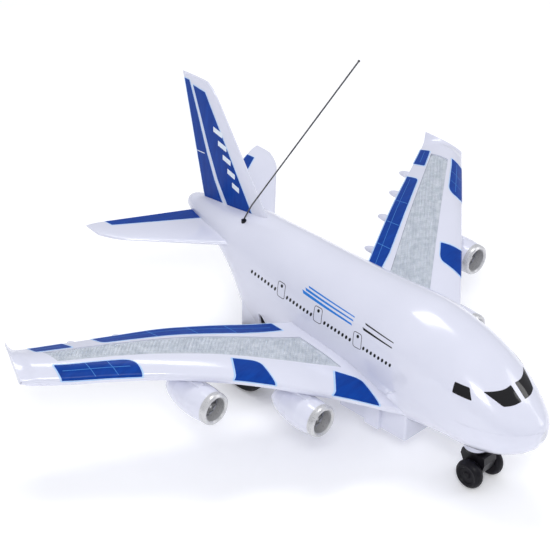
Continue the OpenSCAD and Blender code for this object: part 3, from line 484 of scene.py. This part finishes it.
def inside(p, loop):
    hit = False
    for (ax, ay), (bx, by) in zip(loop, loop[1:] + loop[:1]):
        if (ay > p[1]) != (by > p[1]) and p[0] < (bx - ax) * (p[1] - ay) / (by - ay) + ax:
            hit = not hit
    return hit


def area(loop):
    return sum(a[0] * b[1] - b[0] * a[1] for a, b in zip(loop, loop[1:] + loop[:1])) / 2


def grow(loop, by):
    """Outline moved outwards."""
    if area(loop) < 0:
        loop = loop[::-1]
    out = []
    n = len(loop)
    for i in range(n):
        (ax, ay), (bx, by_), (cx, cy) = loop[i - 1], loop[i], loop[(i + 1) % n]
        e, f = Vector((bx - ax, by_ - ay)).normalized(), Vector((cx - bx, cy - by_)).normalized()
        m = (Vector((e.y, -e.x)) + Vector((f.y, -f.x)))
        if m.length < 1e-6:
            m = Vector((e.y, -e.x))
        m.normalize()
        k = by / max(m.dot(Vector((e.y, -e.x))), 0.5)
        out.append((bx + m.x * k, by_ + m.y * k))
    return out


def rounded(loop, radius, steps=5):
    """Outline with its corners rounded, each by one radius or its own."""
    n = len(loop)
    out = []
    for i in range(n):
        a, b, c = Vector(loop[i - 1]), Vector(loop[i]), Vector(loop[(i + 1) % n])
        r = radius[i] if isinstance(radius, (list, tuple)) else radius
        r = min(r, (a - b).length * 0.49, (c - b).length * 0.49)
        if r < 0.01:
            out.append(tuple(b))
            continue
        p, q = b + (a - b).normalized() * r, b + (c - b).normalized() * r
        for k in range(steps + 1):
            t = k / steps
            out.append(tuple(p * (1 - t) ** 2 + b * 2 * t * (1 - t) + q * t**2))
    return out


def decal(name, outlines, place, finish, lift=0.06, depth=0.2, step=2.5, holes=(), to_uv=None,
          body="airframe", slot=None):
    """Thin printed or inlaid patches over a curved surface. to_uv turns outline points into place's."""
    points, faces = [], []
    for outline in outlines:
        loop = resample(outline, step)
        rings = [loop] + [resample(h, step) for h in holes]
        verts = [Vector(p) for r in rings for p in r]
        edges, start = [], 0
        for r in rings:
            edges += [(start + k, start + (k + 1) % len(r)) for k in range(len(r))]
            start += len(r)
        xs, ys = [p[0] for p in loop], [p[1] for p in loop]
        near = [Vector(p) for r in rings for p in r]
        nx, ny = int((max(xs) - min(xs)) / step), int((max(ys) - min(ys)) / step)
        if nx * ny > 1:
            for i in range(1, nx + 1):
                for j in range(1, ny + 1):
                    p = (min(xs) + i * step, min(ys) + (j + 0.5 * (i % 2)) * step)
                    if inside(p, loop) and not any(inside(p, h) for h in rings[1:]):
                        v = Vector(p)
                        if min((v - q).length for q in near) > step * 0.45:
                            verts.append(v)
        got, _, tris, *_ = delaunay_2d_cdt(verts, edges, [], 1, 1e-5)
        base, n = len(points), len(got)
        tops, bottoms = [], []
        for v in got:
            p, normal = place(*(to_uv(v.x, v.y) if to_uv else (v.x, v.y)))
            tops.append(p + normal * lift)
            bottoms.append(p - normal * depth)
        points += tops + bottoms
        kept = []
        for t in tris:
            c = sum((got[k] for k in t), Vector((0, 0))) / len(t)
            if inside(c, loop) and not any(inside(c, h) for h in rings[1:]):
                kept.append(list(t))
        if not kept:
            continue
        t = kept[0]
        facing = (tops[t[1]] - tops[t[0]]).cross(tops[t[2]] - tops[t[0]]).dot(tops[t[0]] - bottoms[t[0]])
        if facing < 0:
            kept = [f[::-1] for f in kept]
        border = {}
        for f in kept:
            for a, b in zip(f, f[1:] + f[:1]):
                if (b, a) in border:
                    del border[(b, a)]
                else:
                    border[(a, b)] = True
        faces += [tuple(base + k for k in f) for f in kept]
        faces += [tuple(base + n + k for k in f[::-1]) for f in kept]
        faces += [(base + b, base + a, base + n + a, base + n + b) for a, b in border]
    return mesh_piece(name, points, faces, finish, body=body, slot=slot, sharp=50)


# ---- fuselage ---------------------------------------------------------------------------

stations = ([-167 + 47 * (k / 26) ** 2 for k in range(26)] + [-120 + 2.5 * k for k in range(108)]
            + [170 - 20 * (1 - k / 14) ** 2 for k in range(15)])
ACROSS = 72


def seam_angle(y, lift):
    w, mid, h = hull_at(y)
    t = (straight(SEAM, y) + lift - mid) / h
    t = min(max(t, -1), 1)
    return math.asin(math.copysign(abs(t) ** (POWER / 2), t))


outer, inner = [], []
for y in stations:
    a0 = seam_angle(y, 0.12)
    angles = [a0 + (math.pi - 2 * a0) * k / ACROSS for k in range(ACROSS + 1)]
    outer.append([hull_point(y, a) for a in angles])
    inner.append([hull_point(min(max(y, -165), 168.5), a, 1.6) for a in angles])
shell = thick_sheet("upper_fuselage", outer, inner, None, WHITE, False)
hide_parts("upper_shell")


SAME_WAY = 0.86  # cosine between a facet and the true curve that still counts as that skin
NEAR_SKIN = 0.6  # mm from the true curve that still counts as that skin


def smooth_copy(node, name, finish, gradient):
    """Copy of a CAD node whose curved skin is shaded by the true curve's normals."""
    source = frame["nodes"][node]
    mesh = source.data.copy()
    mesh.name = name
    obj = link(bpy.data.objects.new(name, mesh))
    mesh.materials.clear()
    mesh.materials.append(finish)
    mesh.polygons.foreach_set("use_smooth", [True] * len(mesh.polygons))
    normals = [None] * len(mesh.loops)
    for poly in mesh.polygons:
        centre = Vector(poly.center) / MM
        g = gradient(centre)
        on_skin = g is not None and poly.normal.dot(g) > SAME_WAY
        for k in poly.loop_indices:
            normals[k] = poly.normal.copy()
            if on_skin:
                v = gradient(Vector(mesh.vertices[mesh.loops[k].vertex_index].co) / MM)
                if v is not None:
                    normals[k] = v
    mesh.normals_split_custom_set(normals)
    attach(obj, "airframe")
    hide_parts(node)
    return obj


def hull_normal(p):
    g = hull_gradient(p)
    if g.length < 1e-9 or abs(hull_value(p)) / g.length > NEAR_SKIN:
        return None
    return g.normalized()


smooth_copy("lower_shell", "lower_fuselage", WHITE, hull_normal)

# ---- cockpit panes ------------------------------------------------------------------------

PANE_FRONT = [(2.1, 90.9), (1.9, 82.6), (9.2, 82.3), (15.4, 82.8), (20.6, 90.6), (8.5, 90.3)]
PANE_SIDE = [(-112.8, 93.3), (-122.9, 91.9), (-127.4, 85.1), (-113.6, 86.8)]
for side, word in ((1, "port"), (-1, "starboard")):
    front_pane = rounded(PANE_FRONT, [0.5, 0.5, 4, 1.0, 0.3, 8])
    side_pane = rounded(PANE_SIDE, 0.8)
    for place, pane, chart in (("front_", front_pane, nose_front(side)), ("side_", side_pane, flank(side))):
        decal("cockpit_" + place + word, [pane], chart, GLAZING, 0.12, 0.6, 1.5, slot="black_gloss")
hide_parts("cockpit_glazing")

# ---- cabin windows, doors and stripes --------------------------------------------------------

WINDOW_ROWS = [((76.8, 91.7), (50.9, 90.4)), ((37.7, 89.8), (12.6, 88.7)),
               ((-0.8, 88.2), (-25.1, 86.5)), ((-38.0, 85.8), (-62.6, 84.5))]
DOORS = [(44.9, 92.2), (6.6, 90.9), (-31.4, 88.7)]
DOOR = [(4.8, 5.3), (-3.2, 5.3), (-4.9, -5.3), (3.1, -5.3)]
BLUE_BARS = [((24.4, 99.6), (-23.4, 96.6), 1.0, 0.55), ((23.0, 101.8), (-23.6, 99.2), 0.75, 0.45),
             ((21.4, 103.9), (-23.7, 101.6), 0.5, 0.35)]
BLACK_BARS = [((-34.2, 98.0), (-61.0, 96.4), 0.75, 0.4), ((-34.7, 101.4), (-61.1, 99.8), 0.5, 0.3)]


def oval(cy, cz, ry, rz, lean=0.0, n=12):
    turns = [2 * math.pi * k / n for k in range(n)]
    return [(cy + ry * math.cos(t) + lean * rz * math.sin(t), cz + rz * math.sin(t)) for t in turns]


def bar(a, b, half_a, half_b):
    """Speed stripe: a long bar that narrows, with slanted ends."""
    return [(a[0], a[1] - half_a), (b[0] - half_b, b[1] - half_b), (b[0] + half_b, b[1] + half_b),
            (a[0] + 2 * half_a, a[1] + half_a)]


for side, word in ((1, "port"), (-1, "starboard")):
    ovals = []
    for first, last in WINDOW_ROWS:
        for k in range(8):
            t = k / 7
            ovals.append(oval(first[0] + (last[0] - first[0]) * t, first[1] + (last[1] - first[1]) * t,
                              1.0, 1.45, -0.18))
    decal("cabin_windows_" + word, ovals, flank(side), INK, 0.05, 0.15, 4)
    dots = []
    for cy, cz in DOORS:
        outline = rounded([(cy + a, cz + b) for a, b in DOOR], 2.2, 6)
        decal("door_%s_%d" % (word, len(dots)), [outline], flank(side), INK, 0.05, 0.15, 3,
              holes=[grow(outline, -0.42)])
        dots.append(oval(cy + 0.2, cz + 2.8, 1.2, 1.2))
    decal("door_windows_" + word, dots, flank(side), INK, 0.05, 0.15, 4)
    decal("stripes_blue_" + word, [bar(*b) for b in BLUE_BARS], flank(side), STRIPE_BLUE, 0.05, 0.15, 3)
    decal("stripes_black_" + word, [bar(*b) for b in BLACK_BARS], flank(side), INK, 0.05, 0.15, 3)

# ---- wings ------------------------------------------------------------------------------------

LENS_FRONT = 0.34


def lens_rear(x):
    return 0.5 if x > 190 else 0.78 - 0.05 * x / 190


wing_x = [24, 29, 34, 39, 44]
wing_x += [44 + 155 * k / 62 for k in range(1, 63)]
wing_x += [202, 205, 208, 211, 213.5, 215.5, 217, 218.3, 219.5, 220.7, 222, 223, 224, 224.6, 225]
NOSE_STEPS, FRONT_STEPS, LENS_STEPS, REAR_STEPS = 8, 10, 12, 8


def columns(x):
    """Chord positions of one row of the upper skin: round edge, front band, lens, rear band."""
    s0 = EDGE / (rear_y(x) - front_y(x))
    rear = lens_rear(min(max(x, 44), 189.9))
    out = [s0 * k / NOSE_STEPS for k in range(NOSE_STEPS)]
    out += [s0 + (LENS_FRONT - s0) * k / FRONT_STEPS for k in range(FRONT_STEPS)]
    out += [LENS_FRONT + (rear - LENS_FRONT) * k / LENS_STEPS for k in range(LENS_STEPS)]
    out += [rear + (1 - rear) * k / REAR_STEPS for k in range(REAR_STEPS + 1)]
    return out


LENS_COLS = (NOSE_STEPS + FRONT_STEPS, NOSE_STEPS + FRONT_STEPS + LENS_STEPS)
LENS_ROWS = (4, 66)


def wing_row(x, side, inset, under=False):
    """One row of a skin. At the very tip the inner side closes on the middle of the section."""
    out = []
    gap = -0.03 if under else 0.03
    for s in columns(x):
        p = wing_point(x, -s if under else s, 0 if x > 224.5 else inset)
        if s == 0:
            p.z += gap
        if inset and x > 224.5:
            p.z = (top_z(x, s) + low_z(x, s)) / 2 + gap
        out.append(Vector((side * p.x, p.y, p.z)))
    mid = (top_z(x, 1) + low_z(x, 1)) / 2
    out.append(Vector((side * tip_x(x, 1), rear_y(x) - (0.6 if inset and x < 224.5 else 0), mid + gap)))
    return out


def in_lens(i, j):
    return LENS_ROWS[0] <= i < LENS_ROWS[1] and LENS_COLS[0] <= j < LENS_COLS[1]


for side, word in ((1, "port"), (-1, "starboard")):
    outer = [wing_row(x, side, 0) for x in wing_x]
    inner = [wing_row(x, side, 1.3) for x in wing_x]
    upper = thick_sheet("upper_wing_" + word, outer, inner, lambda i, j: not in_lens(i, j), WHITE, side > 0)
    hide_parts("wing_upper_" + word)
    outer = [wing_row(x, side, 0, True) for x in wing_x]
    inner = [wing_row(x, side, 1.3, True) for x in wing_x]
    lower = thick_sheet("lower_wing_" + word, outer, inner, None, WHITE_UNDER, side < 0)
    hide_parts("wing_lower_" + word)

    # clear panel: a smooth border and rows of small pyramids
    rows = range(LENS_ROWS[0], LENS_ROWS[1] + 1)
    cols = range(LENS_COLS[0], LENS_COLS[1] + 1)
    top, base = [], []
    for i in rows:
        x = wing_x[i]
        s_row = columns(x)
        xx = min(max(x, 44.12), 198.88)
        line = [min(max(s_row[j], LENS_FRONT + 0.0015), s_row[LENS_COLS[1]] - 0.0015) for j in cols]
        top.append([Vector((side * xx, *wing_point(xx, s, 0.85)[1:])) for s in line])
        base.append([Vector((side * xx, *wing_point(xx, s, 1.35)[1:])) for s in line])
    lens = thick_sheet("light_panel_" + word, top, base, None, LENS, side > 0, slot="clear_lens")
    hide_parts("wing_lens_" + word)

    points, faces = [], []
    cell = 3.1
    n = 0
    for a in range(-80, 120):
        for b in range(-80, 120):
            cx, cy = 120 + (a - b) * cell * 0.5 * 1.25, 20 + (a + b) * cell * 0.5
            wide, deep = cell * 0.6, cell * 0.48
            corners = [(cx + wide, cy), (cx, cy + deep), (cx - wide, cy), (cx, cy - deep)]
            ok = True
            for x, y in corners:
                if not 45 < x < 198:
                    ok = False
                    break
                s = (y - front_y(x)) / (rear_y(x) - front_y(x))
                pad = 0.9 / (rear_y(x) - front_y(x))
                if not LENS_FRONT + pad < s < lens_rear(min(x, 189.9)) - pad:
                    ok = False
                    break
            if not ok:
                continue
            ring = []
            for x, y in corners:
                s = (y - front_y(x)) / (rear_y(x) - front_y(x))
                p = wing_point(x, s, 0.9)
                ring.append(Vector((side * x, p.y, p.z)))
            s = (cy - front_y(cx)) / (rear_y(cx) - front_y(cx))
            p = wing_point(cx, s, 0.0)
            peak = Vector((side * cx, p.y, p.z + 0.12))
            k = len(points)
            points += ring + [peak]
            tris = [(k, k + 1, k + 4), (k + 1, k + 2, k + 4), (k + 2, k + 3, k + 4), (k + 3, k, k + 4),
                    (k + 3, k + 2, k + 1, k)]
            faces += tris if side > 0 else [t[::-1] for t in tris]
    mesh_piece("lens_prisms_" + word, points, faces, LENS, slot="clear_lens", sharp=1)

# ---- painted wing panels -----------------------------------------------------------------------


ARC = 6.2


def arc_of(x, s):
    """Distance over the skin from the front edge, from a chord position."""
    chord = rear_y(x) - front_y(x)
    s0 = EDGE / chord
    return ARC * s / s0 if s < s0 else ARC + (s - s0) * chord


def from_arc(x, w):
    chord = rear_y(x) - front_y(x)
    s0 = EDGE / chord
    return x, (s0 * w / ARC if w < ARC else s0 + (w - ARC) / chord)


def wing_outline(stops):
    """Outline over the skin from (x, s) corners."""
    return [(x, arc_of(x, s)) for x, s in stops]


def band(x0, x1, front, rear, n=8):
    """Outline over the skin between two chord positions."""
    xs = [x0 + (x1 - x0) * k / n for k in range(n + 1)]
    return wing_outline([(x, front) for x in xs] + [(x, rear) for x in xs[::-1]])


def slat(inner_front, inner_rear, outer_rear, outer_front, radius):
    xs = [inner_front + (outer_front - inner_front) * k / 10 for k in range(11)]
    loop = [(x, 0.6) for x in xs] + wing_outline([outer_rear, inner_rear])
    return rounded(loop, [0.2] + [0] * 9 + [0.2] + list(radius), 8)


OUTER_SLAT = slat(163.6, (160.2, 0.25), (203.5, 0.25), 204, [1.0, 8])
MID_SLAT = slat(96, (93, 0.27), (107, 0.28), 117, [0.8, 5])
INNER_SLAT = slat(42, (40.3, 0.22), (51.5, 0.27), 66, [0.8, 4])
FLAP = [(48, 0.88), (76, 0.83), (103, 0.815), (128, 0.805), (161, 0.80)]


def flap_outline():
    front = []
    for (xa, sa), (xb, sb) in zip(FLAP, FLAP[1:]):
        front += [(xa + (xb - xa) * k / 5, sa + (sb - sa) * k / 5) for k in range(5)]
    front.append(FLAP[-1])
    rear = [(x, 0.995) for x, _ in front[::-1]]
    loop = wing_outline(front + rear)
    radii = [0.5] + [0] * (len(front) - 2) + [3.5, 0.5] + [0] * (len(front) - 2) + [0.5]
    return rounded(loop, radii, 6)


AILERON = rounded(band(179.5, 203, 0.775, 0.995), [1.5] + [0] * 7 + [1.5, 0.5] + [0] * 7 + [0.5], 5)

for side, word in ((1, "port"), (-1, "starboard")):
    slats, flaps = [OUTER_SLAT, MID_SLAT, INNER_SLAT], [flap_outline(), AILERON]
    for panels, kind, fine in ((slats, "slat", 0.8), (flaps, "flap", 1.6)):
        decal(kind + "_overspray_" + word, [grow(p, 0.9) for p in panels], wing_over(side), HALO, 0.10, 0.2,
              fine, to_uv=from_arc)
        decal(kind + "_blue_" + word, panels, wing_over(side), BLUE, 0.17, 0.2, fine, to_uv=from_arc)
    lines = []
    for x in (79, 103, 128):
        s = curve(FLAP, x, 1)
        lines.append(wing_outline([(x - 0.25, s + 0.01), (x + 0.25, s + 0.01),
                                   (x + 0.25, 0.99), (x - 0.25, 0.99)]))
    lines += [band(53, 158, 0.925, 0.930, 30), band(183, 200, 0.885, 0.893, 6)]
    for x in (175, 186.5):
        lines.append(wing_outline([(x - 0.2, 0.03), (x + 0.2, 0.03), (x + 0.2, 0.235), (x - 0.2, 0.235)]))
    lines.append(band(166, 201, 0.125, 0.134, 14))
    decal("panel_lines_" + word, lines, wing_over(side), BLUE_LINE, 0.21, 0.2, 1.6, to_uv=from_arc)

# ---- flap fairings ----------------------------------------------------------------------------


POD = [(0, 1, 1, -0.2), (6, 2, 2, -0.7), (16, 3, 3.1, -0.8), (25, 2.6, 2.7, -1.4), (29.5, 1.6, 1.6, -2),
       (31, 0.4, 0.4, -2.2)]


def pod(x, y, z, n=20):
    """Smooth pod along Y: its half width, half height and middle come from a table."""
    stops = [0, 1, 2, 4, 6, 9, 12, 16, 19, 22, 25, 27.5, 29, 30, 30.6, 31]
    rows = [[Vector((x + curve(POD, a, 1) * math.cos(2 * math.pi * k / n), y + a,
                     z + curve(POD, a, 3) + curve(POD, a, 2) * math.sin(2 * math.pi * k / n)))
             for k in range(n)] for a in stops]
    faces = grid_faces(len(rows), n, wrap=True, flip=True)
    faces += [tuple(range(n)), tuple(range((len(rows) - 1) * n, len(rows) * n))[::-1]]
    return [p for r in rows for p in r], faces


for side, word in ((1, "port"), (-1, "starboard")):
    points, faces = [], []
    for x in (78, 112, 142, 170):
        start = 1 - 20 / (rear_y(x) - front_y(x))
        got, made = pod(side * x, chord_y(x, start), low_z(x, start))
        base = len(points)
        points += got
        faces += [tuple(base + k for k in f) for f in made]
    mesh_piece("flap_fairings_" + word, points, faces, WHITE_UNDER)

# ---- tail -----------------------------------------------------------------------------------------


def fin_front(z):
    return 88 + (z - 119) * 58 / 87


def fin_rear(z):
    return 153.7 + (z - 112) * 21.8 / 94


def fin_half(z):
    return curve([(104, 3.1), (120, 3.0), (160, 2.3), (198, 1.6), (203, 1.45), (206, 0.9)], z, 1)


def blade(s, t):
    """Half thickness of a tail blade at chord position s, with round edges."""
    lead = min(1, math.sqrt(max(s, 0) / 0.025))
    trail = min(1, math.sqrt(max(1 - s, 0) / 0.008))
    return t * (0.25 + 0.75 * math.sin(math.pi * s**0.6)) * (0.08 + 0.92 * lead) * (0.2 + 0.8 * trail)


STEPS = [0, 0.002, 0.007, 0.015, 0.025, 0.05, 0.09, 0.14, 0.2, 0.27, 0.35, 0.43, 0.52, 0.6,
         0.68, 0.76, 0.84, 0.91, 0.96, 0.985, 0.995, 1]


def fin_point(z, s, hand):
    off = max(z - 196, 0) ** 2 * 0.035
    y0, y1 = fin_front(z) + off, fin_rear(z)
    return Vector((hand * blade(s, fin_half(z)), y0 + s * (y1 - y0), z))


levels = [104 + 2.5 * k for k in range(38)] + [198, 200, 201.5, 203, 204, 204.8, 205.4, 205.8, 206]
rings = [[fin_point(z, s, -1) for s in STEPS] + [fin_point(z, s, 1) for s in STEPS[::-1]] for z in levels]
n = len(rings[0])
points = [p for r in rings for p in r]
faces = grid_faces(len(rings), n, wrap=True, flip=True)
faces += [tuple(range(n)), tuple(range((len(rings) - 1) * n, len(rings) * n))[::-1]]
fin = mesh_piece("fin", points, faces, WHITE)
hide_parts("tail_fin")


def fin_side(side):
    def place(u, v):
        y0, y1 = fin_front(v) + max(v - 196, 0) ** 2 * 0.035, fin_rear(v)
        s = min(max((u - y0) / (y1 - y0), 0.004), 0.999)
        return Vector((side * blade(s, fin_half(v)), u, v)), Vector((side, 0, 0))
    return place


RUDDER = [(173.4, 201.2), (168.0, 201.3), (159.4, 178), (149.8, 150), (141.3, 130),
          (132.3, 114.1), (152.6, 111.8)]
RUDDER_SPLIT = [(160.6, 147.4), (152.2, 148.3), (152.0, 147.7), (160.4, 146.8)]
FIN_PANEL = [(164.0, 199.0), (151.2, 198.0), (100.8, 117.2), (126.5, 114.4),
             (137.6, 132), (147.2, 154), (156.0, 178)]
for side, word in ((1, "port"), (-1, "starboard")):
    patches = [rounded(RUDDER, 0.5), rounded(FIN_PANEL, 0.5)]
    decal("fin_overspray_" + word, [grow(p, 0.7) for p in patches], fin_side(side), HALO, 0.08, 0.2, 2)
    decal("fin_blue_" + word, patches, fin_side(side), BLUE, 0.14, 0.2, 2)
    bars = []
    for k in range(5):
        z = 171 - 9.4 * k
        y = fin_front(z) + 0.36 * (fin_rear(z) - fin_front(z)) - 1.2
        tall, wide = 2.0, 4.6 - 0.25 * k
        bars.append(rounded([(y + wide, z + tall + 1.1), (y - wide, z + tall - 1.1),
                             (y - wide, z - tall - 1.1), (y + wide, z - tall + 1.1)], 0.5))
    decal("fin_marks_" + word, [RUDDER_SPLIT] + bars, fin_side(side), WHITE_INK, 0.19, 0.2, 2)


def tail_front(x):
    return 82.2 + 0.945 * x


def tail_rear(x):
    return 154.9 + 0.385 * x


def tail_half(x):
    return curve([(4, 2.7), (24, 2.5), (50, 2.1), (76, 1.7), (83, 1.5), (87, 0.9)], x, 1)


def tail_edges(x):
    cut = 7 * (max(x - 74, 0) / 13) ** 2.4
    return tail_front(x) + cut, tail_rear(x) - cut * 0.3


def tail_z(x, s):
    return 98.6 + 0.085 * x + 1.5 * s


spans = [4 + 2 * k for k in range(36)] + [76, 78, 80, 81.5, 83, 84.2, 85.2, 86, 86.6, 87]


def tail_over(side):
    def place(u, v):
        y0, y1 = tail_edges(u)
        s = min(max((v - y0) / (y1 - y0), 0.003), 0.999)
        return Vector((side * u, v, tail_z(u, s) + blade(s, tail_half(u)))), Vector((0, 0, 1))
    return place


for side, word in ((1, "port"), (-1, "starboard")):
    rings = []
    for x in spans:
        y0, y1 = tail_edges(x)
        rings.append([Vector((side * x, y0 + s * (y1 - y0), tail_z(x, s) + hand * blade(s, tail_half(x))))
                      for hand, order in ((1, STEPS), (-1, STEPS[::-1])) for s in order])
    n = len(rings[0])
    points = [p for r in rings for p in r]
    faces = grid_faces(len(rings), n, wrap=True, flip=side > 0)
    ends = [tuple(range(n)), tuple(range((len(rings) - 1) * n, len(rings) * n))[::-1]]
    faces += ends if side > 0 else [e[::-1] for e in ends]
    plane = mesh_piece("tailplane_" + word + "_skin", points, faces, WHITE)
    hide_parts("tailplane_" + word)
    y0, y1 = tail_edges(72.4)
    elevator = [(72.4, y1 - 0.5), (72.3, y1 - 8.0), (13.6, 143.0), (7.5, 157.2)]
    patch = rounded(elevator, 0.6)
    decal("elevator_overspray_" + word, [grow(patch, 0.7)], tail_over(side), HALO, 0.08, 0.2, 2)
    decal("elevator_blue_" + word, [patch], tail_over(side), BLUE, 0.14, 0.2, 2)

# ---- stage and lights -------------------------------------------------------------------------------

floor_mesh = bpy.data.meshes.new("floor")
floor_mesh.from_pydata([(-6, -6, 0), (6, -6, 0), (6, 6, 0), (-6, 6, 0)], [], [(0, 1, 2, 3)])
floor = link(bpy.data.objects.new("floor", floor_mesh))
floor_finish = Nodes("pale_floor")
tone = floor_finish.ramp(floor_finish.noise(2, 2), [(0.3, (0.965, 0.965, 0.97)), (0.7, (0.98, 0.98, 0.985))])
floor_mesh.materials.append(floor_finish.finish(tone, floor_finish.spread(floor_finish.noise(5), 0.6, 0.7)))
floor_finish.set(Emission_Color=(1, 1, 1, 1), Emission_Strength=0.16)
floor.location.z = -0.0003

world = bpy.data.worlds.new("studio")
world.use_nodes = True
sky = world.node_tree
place = sky.nodes.new("ShaderNodeTexCoord")
split = sky.nodes.new("ShaderNodeSeparateXYZ")
shade = sky.nodes.new("ShaderNodeValToRGB")
sky.links.new(place.outputs["Generated"], split.inputs["Vector"])
sky.links.new(split.outputs["Z"], shade.inputs["Fac"])
shade.color_ramp.elements[0].position = 0.0
shade.color_ramp.elements[0].color = (0.60, 0.62, 0.68, 1)
shade.color_ramp.elements[1].position = 0.9
shade.color_ramp.elements[1].color = (0.92, 0.93, 0.97, 1)
sky.links.new(shade.outputs["Color"], sky.nodes["Background"].inputs["Color"])
sky.nodes["Background"].inputs["Strength"].default_value = 0.7
scene.world = world
scene.view_settings.view_transform = "Standard"


def softbox(name, place, size, power, target=(0, 0, 0.06)):
    light = bpy.data.lights.new(name, "AREA")
    light.shape = "RECTANGLE"
    light.size, light.size_y = size
    light.energy = power
    obj = link(bpy.data.objects.new(name, light))
    obj.location = place
    obj.rotation_euler = (Vector(target) - Vector(place)).to_track_quat("-Z", "Y").to_euler()


softbox("key", (-1.0, -0.9, 1.3), (0.5, 0.35), 9)
softbox("fill", (1.3, -1.1, 0.9), (0.7, 0.7), 4)
softbox("top", (0.15, 0.35, 1.6), (0.9, 0.35), 6)
